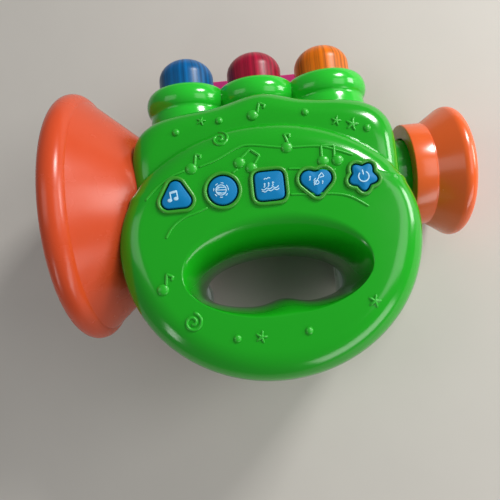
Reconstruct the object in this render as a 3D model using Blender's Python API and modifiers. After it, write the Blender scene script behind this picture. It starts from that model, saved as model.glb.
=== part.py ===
"""Toy trumpet: a hollow moulded body with a handle hole, an orange horn and mouthpiece,
three sprung valve caps, five push buttons, and what the body holds inside.

Toy axes: +X from the horn to the mouthpiece, +Y from the handle to the valves, +Z out of
the face with the buttons. The parting plane of the two shells is z = 0, and the axes of
the horn and the mouthpiece lie in it. All of it hangs on one empty that lays the toy down
as it rests: on the lip of the horn, the lip of the mouthpiece and the outer edge of the
battery door.
"""

import math

import bmesh
import bpy
import numpy as np
from mathutils import Matrix

MM = 0.001

# General
WALL = 2.0 * MM
GAP = 0.3 * MM
OVERRUN = 6.0 * MM
WELD = 0.01 * MM
BODY_POINTS = 40
CAVITY_POINTS = 28
BUTTON_POINTS = 24
HORN_STEPS = 38
MOUTH_STEPS = 30
COLLAR_STEPS = 26
CAP_STEPS = 20

# Raised disc with the buttons and the handle hole
DISC_HALF_WIDTH = 58.6 * MM
DISC_BELOW = 53.5 * MM
DISC_ABOVE = 45.0 * MM
DISC_X = -1.2 * MM
DISC_Y = -20.5 * MM
FACE_Z = 40.0 * MM
FACE_ROUND = 13.0 * MM
FACE_ROUND_TOP = 6.0 * MM
REAR_Z = 28.0 * MM
REAR_ROUND = 7.0 * MM

# Shoulder behind the disc
SHOULDER_HALF_WIDTH = 53.0 * MM
SHOULDER_ABOVE = 30.8 * MM
SHOULDER_BELOW = 12.0 * MM
SHOULDER_X = -0.3 * MM
SHOULDER_Y = 4.5 * MM
SHOULDER_Z = 34.0 * MM
SHOULDER_ROUND = 9.0 * MM
SHOULDER_REAR_Z = 25.0 * MM
SHOULDER_BULGE = 4.5 * MM
SHOULDER_BULGE_WIDTH = 13.0 * MM
SHOULDER_POWER = 4.2

# Handle hole: its throat lies in the parting plane and it opens out to the face
HOLE_HALF_WIDTH = 31.5 * MM
HOLE_X = 0.5 * MM
HOLE_Y = -37.0 * MM
HOLE_ABOVE = 13.0 * MM
HOLE_BELOW = 9.2 * MM
HOLE_FINGER_BUMP = 3.0 * MM
HOLE_BUMP_X = 3.0 * MM
HOLE_BUMP_WIDTH = 8.0 * MM
HOLE_BELOW_POWER = 0.75
LIP_HALF_WIDTH = 35.5 * MM
LIP_Y = -31.0 * MM
LIP_ABOVE = 20.5 * MM
LIP_BELOW = 18.5 * MM
REAR_FLARE = 3.5 * MM

# Horn, turned about the X axis of the toy
HORN_Y = 1.0 * MM
HORN_LIP_X = -77.6 * MM
HORN_RADIUS = 53.5 * MM
HORN_LIP_ROUND = 5.5 * MM
HORN_CREASE_ANGLE = 71.0
FULL_TURN = 360.0
HORN_NECK_X = -38.0 * MM
HORN_NECK_RADIUS = 20.0 * MM
HORN_WALL = 2.5 * MM
HORN_FLANGE_X = -33.0 * MM
HORN_FLANGE_THICK = 2.0 * MM
HORN_FLANGE_RIM = 1.2 * MM
SADDLE_THICK = 2.4 * MM

# Mouthpiece and the pipe that carries it
MOUTH_Y = 6.1 * MM
MOUTH_LIP_X = 80.7 * MM
MOUTH_RADIUS = 28.3 * MM
MOUTH_LIP_ROUND = 4.0 * MM
MOUTH_COLLAR_X = 61.0 * MM
MOUTH_COLLAR_END_X = 70.2 * MM
MOUTH_COLLAR_RADIUS = 22.4 * MM
MOUTH_WALL = 2.2 * MM
MOUTH_CUP_DEPTH = 11.1 * MM
MOUTH_CUP_FLOOR = 9.0 * MM
PIPE_RADIUS = 16.0 * MM
PIPE_START_X = 43.5 * MM
PIPE_FLANGE_X = 45.0 * MM
PIPE_FLANGE_RADIUS = 17.8 * MM
PIPE_FLANGE_THICK = 2.2 * MM

# Valves: caps slide along the Y axis of the toy
VALVE_SPACING = 31.0 * MM
VALVE_TRAVEL = 5.0 * MM
CAP_RADIUS = 12.3 * MM
CAP_DOME_Y = 62.3 * MM
CAP_DOME_HEIGHT = 6.7 * MM
CAP_WALL = 1.6 * MM
CAP_FLANGE_RADIUS = 14.0 * MM
CAP_FLANGE_THICK = 2.2 * MM
COLLAR_RADIUS = 18.6 * MM
COLLAR_TOP_Y = 53.0 * MM
COLLAR_ROLL = 3.9 * MM
COLLAR_NECK_RADIUS = 17.4 * MM
COLLAR_STEP_Y = 40.6 * MM
PLATE_Z = -14.9 * MM
PLATE_THICK = 2.4 * MM
PLATE_HALF_WIDTH = 30.0 * MM
PLATE_TOP_Y = 64.5 * MM
PLATE_FOOT_Y = 45.0 * MM
PLATE_CORNER = 5.0 * MM
SPRING_RADIUS = 12.3 * MM
SPRING_WIRE = 0.9 * MM
SPRING_TURNS = 4
SPRING_POINTS_A_TURN = 9
BOARD_THICK = 1.6 * MM
BLOCK_BASE_HALF_WIDTH = 44.2 * MM
BLOCK_BASE_HALF_DEPTH = 14.0 * MM
BLOCK_BASE_THICK = 2.5 * MM
VALVE_BOARD_HALF_WIDTH = 39.8 * MM
VALVE_BOARD_HALF_DEPTH = 14.0 * MM
LED_RADIUS = 2.5 * MM
LED_HEIGHT = 7.0 * MM
LED_RIM = 0.4 * MM

# Buttons: a straight row on the disc, sliding along the Z axis of the toy
BUTTON_SPACING = 17.4 * MM
BUTTON_Y = -1.0 * MM
BUTTON_SIZE = 10.8 * MM
BUTTON_PROUD = 0.9 * MM
BUTTON_CROWN = 0.5 * MM
BUTTON_EDGE = 0.5 * MM
BUTTON_FLANGE = 1.1 * MM
BUTTON_FLANGE_THICK = 1.4 * MM
BUTTON_STEM_RADIUS = 3.4 * MM
BUTTON_STEM = 2.6 * MM
BUTTON_TRAVEL = 1.5 * MM
BUTTON_CLEARANCE = 0.5 * MM
RIM_WIDTH = 1.4 * MM
RIM_HEIGHT = 1.1 * MM
RIM_EDGE = 0.3 * MM
MAT_THICK = 1.0 * MM
MAT_PAD_RADIUS = 3.0 * MM
MAT_PAD_HEIGHT = 1.2 * MM
MAT_HALF_WIDTH = 43.0 * MM
MAT_HALF_DEPTH = 6.0 * MM
MAIN_BOARD_HALF_WIDTH = 43.0 * MM
MAIN_BOARD_FRONT_Y = -13.2 * MM
MAIN_BOARD_MARGIN = 3.1 * MM
BOARD_POST_X = 40.2 * MM
BOARD_POST_INSET = 2.6 * MM
BOARD_POST_RADIUS = 2.2 * MM

# Screws that hold the shells together, and the posts that they run in
BACK_SCREW_X = 20.0 * MM
SIDE_SCREW_X = 34.0 * MM
SIDE_SCREW_Y = -58.0 * MM
FRONT_SCREW_Y = -64.0 * MM
SCREW_HEAD_RADIUS = 2.7 * MM
SCREW_HEAD_THICK = 1.8 * MM
SCREW_RADIUS = 1.4 * MM
SCREW_SEAT_Z = -10.0 * MM
SCREW_LENGTH = 19.0 * MM
POST_RADIUS = 3.4 * MM
SLEEVE_RADIUS = 4.6 * MM

# White speaker housing, a round cup let into the rear shell
SPEAKER_X = -42.0 * MM
SPEAKER_Y = -39.5 * MM
POD_RADIUS = 12.0 * MM
POD_TOP_Z = -14.0 * MM
POD_BOTTOM_Z = -32.0 * MM
POD_WALL = 1.4 * MM
SPEAKER_FRAME_THICK = 1.2 * MM
SPEAKER_MAGNET_RADIUS = 6.0 * MM
SPEAKER_HEIGHT = 6.0 * MM
GRILLE_SLOTS = 5
GRILLE_SLOT = 1.4 * MM
GRILLE_PITCH = 3.0 * MM

# White battery box and its door, sized by two AAA cells
CELL_RADIUS = 5.25 * MM
CELL_LENGTH = 43.3 * MM
CELL_NIPPLE_RADIUS = 1.9 * MM
CELL_NIPPLE = 1.2 * MM
BOX_WALL = 1.0 * MM
BOX_LEFT_X = 31.0 * MM
BOX_END_Y = -46.0 * MM
BOX_CORNER = 3.0 * MM
BOX_BIG_CORNER = 13.0 * MM
BOX_TAB_WIDTH = 12.0 * MM
BOX_TAB = 2.0 * MM
CONTACT_THICK = 0.5 * MM
CONTACT_WIDTH = 7.0 * MM
CONTACT_HEIGHT = 8.0 * MM
DOOR_THICK = 2.0 * MM
DOOR_SCREW_BAY = 11.0 * MM
DOOR_SCREW_LENGTH = 7.0 * MM

COLOURS = {
    "green": (0.035, 0.46, 0.02),
    "orange": (0.80, 0.10, 0.02),
    "magenta": (0.62, 0.02, 0.20),
    "blue": (0.0, 0.21, 0.52),
    "cap blue": (0.0, 0.10, 0.42),
    "cap crimson": (0.38, 0.005, 0.04),
    "cap orange": (0.80, 0.14, 0.0),
    "white": (0.78, 0.83, 0.85),
    "rubber": (0.35, 0.35, 0.36),
    "board": (0.03, 0.16, 0.05),
    "steel": (0.60, 0.60, 0.62),
    "lamp": (0.9, 0.9, 0.88),
    "black": (0.02, 0.02, 0.02),
    "cell": (0.25, 0.25, 0.28),
}
ROUGHNESS = {"rubber": 0.7, "board": 0.5, "steel": 0.3, "black": 0.6, "blue": 0.45}
METALLIC = {"steel": 1.0, "cell": 0.6}


def clear_scene():
    """Removes whatever the file holds, and makes the two collections."""
    for old in list(bpy.data.objects):
        bpy.data.objects.remove(old, do_unlink=True)
    made = []
    for name in ("toy_trumpet", "cutters"):
        collection = bpy.data.collections.new(name)
        bpy.context.scene.collection.children.link(collection)
        made.append(collection)
    return made


PARTS, CUTTERS = clear_scene()


def lean_angle():
    """Angle that brings the lips of the horn and the mouthpiece down to one level."""
    rise = (HORN_RADIUS - HORN_LIP_ROUND) - (MOUTH_RADIUS - MOUTH_LIP_ROUND)
    extra = HORN_LIP_ROUND - MOUTH_LIP_ROUND
    run = MOUTH_LIP_X - HORN_LIP_X
    return math.asin(extra / math.hypot(run, rise)) + math.atan2(rise, run)


LEAN = lean_angle()
AXIS_HEIGHT = (
    HORN_LIP_X * math.sin(LEAN)
    + (HORN_RADIUS - HORN_LIP_ROUND) * math.cos(LEAN)
    + HORN_LIP_ROUND
)


def floor_z(x):
    """Height of the table under a place along the toy, in the toy's axes."""
    return (x * math.sin(LEAN) - AXIS_HEIGHT) / math.cos(LEAN)


BOX_WIDTH = 2 * BOX_WALL + 4 * CELL_RADIUS + 3 * GAP
BOX_RIGHT_X = BOX_LEFT_X + BOX_WIDTH
DOOR_Z = floor_z(BOX_RIGHT_X)


def resting_place():
    """Where the toy's own origin lies, with the middle of the whole on the world's origin."""
    ring = HORN_RADIUS - HORN_LIP_ROUND
    left = HORN_LIP_X * math.cos(LEAN) - ring * math.sin(LEAN) - HORN_LIP_ROUND
    mouth_ring = MOUTH_RADIUS - MOUTH_LIP_ROUND
    right = MOUTH_LIP_X * math.cos(LEAN) + mouth_ring * math.sin(LEAN) + MOUTH_LIP_ROUND
    top = CAP_DOME_Y + CAP_DOME_HEIGHT
    bottom = DISC_Y - DISC_BELOW
    return (-(left + right) / 2, -(top + bottom) / 2, AXIS_HEIGHT)


def toy_frame():
    """The empty that carries the whole toy, turned about Y as it lies on a table."""
    empty = bpy.data.objects.new("toy_frame", None)
    PARTS.objects.link(empty)
    empty.location = resting_place()
    empty.rotation_euler = (0.0, LEAN, 0.0)
    return empty


TOY = toy_frame()


def material(colour):
    """One Principled material for a sub-part."""
    made = bpy.data.materials.new(colour)
    made.use_nodes = True
    shader = made.node_tree.nodes["Principled BSDF"]
    shader.inputs["Base Color"].default_value = (*COLOURS[colour], 1.0)
    shader.inputs["Roughness"].default_value = ROUGHNESS.get(colour, 0.25)
    shader.inputs["Metallic"].default_value = METALLIC.get(colour, 0.0)
    return made


def add_object(name, mesh, colour=None, parent=TOY):
    """Links a mesh as a sub-part, or as a cutter where it has no colour."""
    made = bpy.data.objects.new(name, mesh)
    made.parent = parent
    if colour is None:
        CUTTERS.objects.link(made)
        made.hide_render = True
        made.display_type = "WIRE"
    else:
        PARTS.objects.link(made)
        mesh.materials.append(material(colour))
    return made


def boolean(target, tool, operation):
    """Adds one exact Boolean to a sub-part."""
    made = target.modifiers.new(tool.name, "BOOLEAN")
    made.object = tool
    made.operation = operation
    made.solver = "EXACT"


def cut(target, *tools):
    for tool in tools:
        boolean(target, tool, "DIFFERENCE")


def fuse(target, *tools):
    for tool in tools:
        boolean(target, tool, "UNION")


def mesh_from(name, vertices, faces, smooth=True):
    made = bpy.data.meshes.new(name)
    made.from_pydata([tuple(v) for v in vertices], [], faces)
    if smooth:
        made.shade_smooth()
        made.set_sharp_from_angle(angle=math.radians(35))
    return made


def loft(name, rings, closed, colour=None):
    """Skins a stack of outlines that have equal counts of points.

    A closed loft joins the last outline to the first, which makes a ring-shaped body. An
    open one gets a flat cap at each end.
    """
    count = len(rings[0])
    layers = len(rings)
    vertices = np.concatenate(rings)
    faces = []
    for layer in range(layers if closed else layers - 1):
        low = layer * count
        high = ((layer + 1) % layers) * count
        for i in range(count):
            j = (i + 1) % count
            faces.append((low + i, low + j, high + j, high + i))
    if not closed:
        faces.append(tuple(range(count))[::-1])
        faces.append(tuple(range((layers - 1) * count, layers * count)))
    return add_object(name, mesh_from(name, vertices, faces), colour)


def at_height(outline, z):
    return np.column_stack([outline, np.full(len(outline), z)])


def offset(outline, distance):
    """Moves an anticlockwise outline outwards along its normals."""
    ahead = np.roll(outline, -1, axis=0) - np.roll(outline, 1, axis=0)
    normal = np.column_stack([ahead[:, 1], -ahead[:, 0]])
    normal /= np.linalg.norm(normal, axis=1)[:, None]
    return outline + np.reshape(distance, (-1, 1)) * normal


def prism(name, outline, low, high, colour=None, edge=0.0):
    """An upright block on an outline, with its top edge eased."""
    rings = [at_height(outline, low), at_height(outline, high - edge)]
    if edge:
        rings.append(at_height(offset(outline, -edge), high))
    return loft(name, rings, False, colour)


def place(made, x=0.0, y=0.0, z=0.0, along="Z"):
    """Puts a piece down in the toy's axes, with its own Z axis along X, Y or Z."""
    made.location = (x, y, z)
    turns = {"X": (0.0, math.pi / 2, 0.0), "Y": (-math.pi / 2, 0.0, 0.0), "Z": (0.0, 0.0, 0.0)}
    made.rotation_euler = turns[along]
    return made


def turned(name, profile, steps, colour=None):
    """Turns a profile of (radius, height) points about Z, down its outer side first."""
    made = bpy.data.meshes.new(name)
    points = [(radius, 0.0, height) for radius, height in profile]
    joined = profile[0][0] == 0.0
    edges = [(i, i + 1) for i in range(len(points) - 1)]
    if not joined:
        edges.append((len(points) - 1, 0))
    made.from_pydata(points, edges, [])
    piece = add_object(name, made, colour)
    screw = piece.modifiers.new("turn", "SCREW")
    screw.axis = "Z"
    screw.angle = 2 * math.pi
    screw.steps = steps
    screw.render_steps = steps
    screw.use_merge_vertices = True
    screw.merge_threshold = WELD
    screw.use_smooth_shade = True
    return piece


def arc(centre, radius, start, end, count):
    """Points on an arc in the plane of a profile, with its angles in degrees."""
    angles = np.radians(np.linspace(start, end, count))
    return [(centre[0] + radius * math.cos(a), centre[1] + radius * math.sin(a)) for a in angles]


def cylinders(name, spots, radius, low, high, sides=16, colour=None):
    """Upright round bars on a list of spots, kept in one mesh."""
    made = bmesh.new()
    for x, y in spots:
        bar = bmesh.ops.create_cone(
            made, cap_ends=True, segments=sides, radius1=radius, radius2=radius, depth=high - low,
            matrix=Matrix.Rotation(math.pi / sides, 4, "Z"),
        )
        bmesh.ops.translate(made, verts=bar["verts"], vec=(x, y, (low + high) / 2))
    mesh = bpy.data.meshes.new(name)
    made.to_mesh(mesh)
    made.free()
    mesh.shade_smooth()
    mesh.set_sharp_from_angle(angle=math.radians(35))
    return add_object(name, mesh, colour)


def block(name, low, high, colour=None):
    """A box between two corners."""
    made = bmesh.new()
    bmesh.ops.create_cube(made, size=1.0)
    size = [b - a for a, b in zip(low, high)]
    middle = [(a + b) / 2 for a, b in zip(low, high)]
    bmesh.ops.scale(made, verts=made.verts, vec=size)
    bmesh.ops.translate(made, verts=made.verts, vec=middle)
    mesh = bpy.data.meshes.new(name)
    made.to_mesh(mesh)
    made.free()
    return add_object(name, mesh, colour)


def rounded(width, length, corner, steps=3):
    """Outline of a rectangle about the origin with round corners."""
    points = []
    for k, (sx, sy) in enumerate(((1, 1), (-1, 1), (-1, -1), (1, -1))):
        centre = (sx * (width / 2 - corner), sy * (length / 2 - corner))
        points += arc(centre, corner, 90 * k, 90 * k + 90, steps + 1)
    return np.array(points)


def turn_angles(count):
    return np.linspace(0.0, 2 * math.pi, count, endpoint=False)


def split_oval(half_width, above, below, centre, angles, power=1.0, power_below=1.0):
    """An oval whose upper and lower halves differ in height and in fullness."""
    c = np.cos(angles)
    s = np.sin(angles)
    height = np.where(s > 0, above * np.abs(s) ** power, -below * np.abs(s) ** power_below)
    x = half_width * np.sign(c) * np.abs(c) ** power
    return np.column_stack([centre[0] + x, centre[1] + height])


def disc_outline(count, inward=0.0):
    """Outline of the disc, drawn in by a distance that may differ from point to point."""
    half_width = DISC_HALF_WIDTH - inward
    above = DISC_ABOVE - inward
    return split_oval(half_width, above, DISC_BELOW - inward, (DISC_X, DISC_Y), turn_angles(count))


def shoulder_outline(count, inward=0.0):
    """The flat-topped block behind the disc, with a swelling in front of the middle valve."""
    full = split_oval(
        SHOULDER_HALF_WIDTH - inward, SHOULDER_ABOVE - inward, SHOULDER_BELOW - inward,
        (SHOULDER_X, SHOULDER_Y), turn_angles(count), 2 / SHOULDER_POWER, 2 / SHOULDER_POWER,
    )
    swelling = SHOULDER_BULGE * np.exp(-((full[:, 0] / SHOULDER_BULGE_WIDTH) ** 2))
    full[:, 1] += np.where(full[:, 1] > SHOULDER_Y, swelling, 0.0)
    return full


def throat_outline(count):
    """The narrowest outline of the handle hole, with a swelling between the two fingers."""
    full = split_oval(
        HOLE_HALF_WIDTH, HOLE_ABOVE, HOLE_BELOW, (HOLE_X, HOLE_Y), turn_angles(count),
        1.0, HOLE_BELOW_POWER,
    )
    bump = HOLE_FINGER_BUMP * np.exp(-(((full[:, 0] - HOLE_BUMP_X) / HOLE_BUMP_WIDTH) ** 2))
    full[:, 1] += np.where(full[:, 1] < HOLE_Y, bump, 0.0)
    return full


def lip_outline(count):
    """Where the wall of the handle hole has opened out to the flat of the face."""
    return split_oval(LIP_HALF_WIDTH, LIP_ABOVE, LIP_BELOW, (0.0, LIP_Y), turn_angles(count))


def rolled_edge(outline, count, side, face_z, radius, inset, steps):
    """Rings that roll from a wall over to a face on a quarter circle, of one radius a point."""
    radius = np.broadcast_to(radius - inset, count)
    rings = []
    for angle in np.linspace(0.0, math.pi / 2, steps):
        height = face_z - side * radius * (1 - math.sin(angle))
        drawn_in = inset + radius * (1 - math.cos(angle))
        rings.append(np.column_stack([outline(count, drawn_in), height]))
    return rings


def disc_round(count):
    """Radius of the disc's front edge: tight against the shoulder, full round the handle."""
    low = np.clip((0.45 - np.sin(turn_angles(count))) / 0.8, 0.0, 1.0)
    return FACE_ROUND_TOP + (FACE_ROUND - FACE_ROUND_TOP) * low * low * (3 - 2 * low)


def parting_z(side):
    """Where a half of the body starts: side is 1 for the front and -1 for the rear."""
    return 0.0 if side > 0 else -GAP


def disc_solid(name, side, inset, count, steps, below=0.0, colour=None):
    """Ring-shaped half of the disc, from the parting plane to its face.

    The wall of the handle hole is a loft on a quarter ellipse, from the throat in the
    parting plane out to the lip on the face. A cutter runs on below the parting plane.
    """
    base = parting_z(side)
    start = base - side * below
    face = side * ((FACE_Z if side > 0 else REAR_Z) - inset)
    edge_round = disc_round(count) if side > 0 else REAR_ROUND
    throat = offset(throat_outline(count), inset)
    if side > 0:
        lip = offset(lip_outline(count), inset)
    else:
        lip = offset(throat, REAR_FLARE)
    rings = [at_height(disc_outline(count, inset), start)]
    rings += rolled_edge(disc_outline, count, side, face, edge_round, inset, steps)
    for angle in np.linspace(math.pi / 2, 0.0, steps + 1):
        share = 1 - math.cos(angle)
        height = base + (face - base) * math.sin(angle)
        rings.append(at_height(throat + (lip - throat) * share, height))
    if below:
        rings.append(at_height(throat, start))
    if side < 0:
        rings = rings[::-1]
    return loft(name, rings, True, colour)


def shoulder_solid(name, side, inset, count, steps, below=0.0):
    """Half of the block behind the disc."""
    start = parting_z(side) - side * below
    face = side * ((SHOULDER_Z if side > 0 else SHOULDER_REAR_Z) - inset)
    edge_round = SHOULDER_ROUND if side > 0 else REAR_ROUND
    rings = [at_height(shoulder_outline(count, inset), start)]
    rings += rolled_edge(shoulder_outline, count, side, face, edge_round, inset, steps)
    if side < 0:
        rings = rings[::-1]
    return loft(name, rings, False)


HORN_RING = HORN_RADIUS - HORN_LIP_ROUND
HORN_CONE_RADIUS = HORN_RING + HORN_LIP_ROUND * math.cos(math.radians(HORN_CREASE_ANGLE))
HORN_CONE_X = HORN_LIP_X + HORN_LIP_ROUND * math.sin(math.radians(HORN_CREASE_ANGLE))
HORN_SLOPE = (HORN_CONE_RADIUS - HORN_NECK_RADIUS) / (HORN_NECK_X - HORN_CONE_X)
HORN_FLANGE_RADIUS = HORN_NECK_RADIUS + HORN_FLANGE_RIM
BLOCK_BASE_Y = HORN_Y + HORN_FLANGE_RADIUS + BOARD_THICK + 4 * GAP


def cone_radius(x):
    """Outer radius of the horn's cone at a place along the toy."""
    return HORN_NECK_RADIUS + HORN_SLOPE * (HORN_NECK_X - x)


def cone_meets_lip(inward):
    """Angle on the lip's circle, in degrees, where the cone's line runs into it."""
    run = np.array([HORN_SLOPE, -1.0]) / math.hypot(HORN_SLOPE, 1.0)
    across = np.array([-run[1], run[0]])
    start = np.array([HORN_NECK_RADIUS, HORN_NECK_X]) - inward * across
    to_centre = np.array([HORN_RING, HORN_LIP_X]) - start
    along = to_centre @ run
    half_chord = math.sqrt(HORN_LIP_ROUND**2 - (to_centre @ across) ** 2)
    point = start + run * (along - half_chord)
    return math.degrees(math.atan2(point[1] - HORN_LIP_X, point[0] - HORN_RING))


def make_horn():
    """The bell: a straight cone with a thick rolled lip, on a flanged neck."""
    crease = cone_meets_lip(0.0)
    mouth = cone_meets_lip(HORN_WALL) - FULL_TURN
    bore = HORN_NECK_RADIUS - HORN_WALL
    floor = HORN_NECK_X - HORN_WALL
    flange_low = HORN_FLANGE_X - HORN_FLANGE_THICK
    profile = [
        (0.0, HORN_NECK_X),
        (bore, HORN_NECK_X),
        (bore, HORN_FLANGE_X),
        (HORN_FLANGE_RADIUS, HORN_FLANGE_X),
        (HORN_FLANGE_RADIUS, flange_low),
        (HORN_NECK_RADIUS, flange_low),
        (HORN_NECK_RADIUS, HORN_NECK_X),
    ]
    profile += arc((HORN_RING, HORN_LIP_X), HORN_LIP_ROUND, crease, mouth, 13)
    profile += [(bore, floor), (0.0, floor)]
    return place(turned("horn", profile, HORN_STEPS, "orange"), y=HORN_Y, along="X")


def horn_space():
    """The room that the horn takes in the shells, with its clearance."""
    outer = HORN_CONE_X
    profile = [
        (0.0, HORN_FLANGE_X + GAP),
        (HORN_FLANGE_RADIUS + GAP, HORN_FLANGE_X + GAP),
        (HORN_FLANGE_RADIUS + GAP, HORN_FLANGE_X - HORN_FLANGE_THICK - GAP),
        (HORN_NECK_RADIUS + GAP, HORN_FLANGE_X - HORN_FLANGE_THICK - GAP),
        (HORN_NECK_RADIUS + GAP, HORN_NECK_X),
        (cone_radius(outer) + GAP, outer),
        (0.0, outer),
    ]
    return place(turned("horn_space", profile, HORN_STEPS), y=HORN_Y, along="X")


MOUTH_RING = MOUTH_RADIUS - MOUTH_LIP_ROUND
MOUTH_FLOOR_X = MOUTH_LIP_X + MOUTH_LIP_ROUND - MOUTH_CUP_DEPTH
MOUTH_WEB_X = MOUTH_FLOOR_X - MOUTH_WALL


def make_mouthpiece():
    """A round cup on a short collar, whose web closes on the end of the pipe."""
    rise = MOUTH_LIP_X - MOUTH_FLOOR_X
    spread = MOUTH_RING - MOUTH_LIP_ROUND - MOUTH_CUP_FLOOR
    bowl = [
        (MOUTH_CUP_FLOOR + spread * math.sin(a), MOUTH_LIP_X - rise * math.cos(a))
        for a in np.linspace(0.0, math.pi / 2, 4)
    ]
    waist = (MOUTH_COLLAR_RADIUS - GAP, MOUTH_COLLAR_END_X)
    away = (waist[0] - MOUTH_RING, waist[1] - MOUTH_LIP_X)
    leave = math.degrees(
        math.atan2(away[1], away[0]) + math.acos(MOUTH_LIP_ROUND / math.hypot(*away))
    )
    profile = [(0.0, MOUTH_FLOOR_X)] + bowl
    profile += arc((MOUTH_RING, MOUTH_LIP_X), MOUTH_LIP_ROUND, 180.0, leave, 7)[1:]
    profile += [
        waist,
        (MOUTH_COLLAR_RADIUS, MOUTH_COLLAR_END_X - MOUTH_WALL / 2),
        (MOUTH_COLLAR_RADIUS, MOUTH_COLLAR_X + GAP),
        (MOUTH_COLLAR_RADIUS - GAP, MOUTH_COLLAR_X),
        (MOUTH_COLLAR_RADIUS - MOUTH_WALL, MOUTH_COLLAR_X),
        (MOUTH_COLLAR_RADIUS - MOUTH_WALL, MOUTH_WEB_X),
        (0.0, MOUTH_WEB_X),
    ]
    return place(turned("mouthpiece", profile, MOUTH_STEPS, "orange"), y=MOUTH_Y, along="X")


PIPE_END_X = MOUTH_WEB_X - GAP


def make_pipe():
    """The stub pipe between the body and the mouthpiece, with the flange that traps it."""
    profile = [
        (PIPE_RADIUS - WALL, PIPE_END_X),
        (PIPE_RADIUS, PIPE_END_X),
        (PIPE_RADIUS, PIPE_FLANGE_X + PIPE_FLANGE_THICK),
        (PIPE_FLANGE_RADIUS, PIPE_FLANGE_X + PIPE_FLANGE_THICK),
        (PIPE_FLANGE_RADIUS, PIPE_FLANGE_X),
        (PIPE_RADIUS, PIPE_FLANGE_X),
        (PIPE_RADIUS, PIPE_START_X),
        (PIPE_RADIUS - WALL, PIPE_START_X),
    ]
    return place(turned("lead_pipe", profile, MOUTH_STEPS, "green"), y=MOUTH_Y, along="X")


def pipe_space():
    profile = [
        (0.0, MOUTH_COLLAR_X),
        (PIPE_RADIUS + GAP, MOUTH_COLLAR_X),
        (PIPE_RADIUS + GAP, PIPE_FLANGE_X + PIPE_FLANGE_THICK + GAP),
        (PIPE_FLANGE_RADIUS + GAP, PIPE_FLANGE_X + PIPE_FLANGE_THICK + GAP),
        (PIPE_FLANGE_RADIUS + GAP, PIPE_FLANGE_X - GAP),
        (0.0, PIPE_FLANGE_X - GAP),
    ]
    return place(turned("pipe_space", profile, MOUTH_STEPS), y=MOUTH_Y, along="X")


VALVE_NAMES = ("blue", "crimson", "orange")
CAP_FLANGE_TOP_Y = COLLAR_STEP_Y - GAP
CAP_FOOT_Y = CAP_FLANGE_TOP_Y - CAP_FLANGE_THICK
VALVE_BOARD_Y = BLOCK_BASE_Y - GAP
BACK_SCREW_Y = VALVE_BOARD_Y - BOARD_THICK - SLEEVE_RADIUS
SCREW_PLACES = (
    (-BACK_SCREW_X, BACK_SCREW_Y),
    (BACK_SCREW_X, BACK_SCREW_Y),
    (-SIDE_SCREW_X, SIDE_SCREW_Y),
    (SIDE_SCREW_X, SIDE_SCREW_Y),
    (0.0, FRONT_SCREW_Y),
)
MAIN_BOARD_BACK_Y = BACK_SCREW_Y - POST_RADIUS - MAIN_BOARD_MARGIN
COLLAR_RING_RADIUS = COLLAR_RADIUS - COLLAR_ROLL
COLLAR_ROLL_Y = COLLAR_TOP_Y - COLLAR_ROLL


def valve_x(index):
    return (index - 1) * VALVE_SPACING


def collar_turn(index):
    """Turn of a collar's faces about its axis, unlike its neighbours'."""
    return (1 + index) * math.pi / (2 * COLLAR_STEPS)


def make_cap(index):
    """A hollow cap with a flat dome, with the flange that keeps it in its collar."""
    dome = [
        (CAP_RADIUS * math.sin(a), CAP_DOME_Y + CAP_DOME_HEIGHT * math.cos(a))
        for a in np.linspace(0.0, math.pi / 2, 6)
    ]
    inner = CAP_RADIUS - CAP_WALL
    inner_height = CAP_DOME_HEIGHT - CAP_WALL
    hollow = [
        (inner * math.sin(a), CAP_DOME_Y + inner_height * math.cos(a))
        for a in np.linspace(math.pi / 2, 0.0, 4)
    ]
    dome[0] = (0.0, dome[0][1])
    hollow[-1] = (0.0, hollow[-1][1])
    profile = dome + [
        (CAP_RADIUS, CAP_FLANGE_TOP_Y),
        (CAP_FLANGE_RADIUS, CAP_FLANGE_TOP_Y),
        (CAP_FLANGE_RADIUS, CAP_FOOT_Y),
        (inner, CAP_FOOT_Y),
    ] + hollow
    name = "valve_cap_" + VALVE_NAMES[index]
    cap = turned(name, profile, CAP_STEPS, "cap " + VALVE_NAMES[index])
    return place(cap, x=valve_x(index), along="Y")


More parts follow.
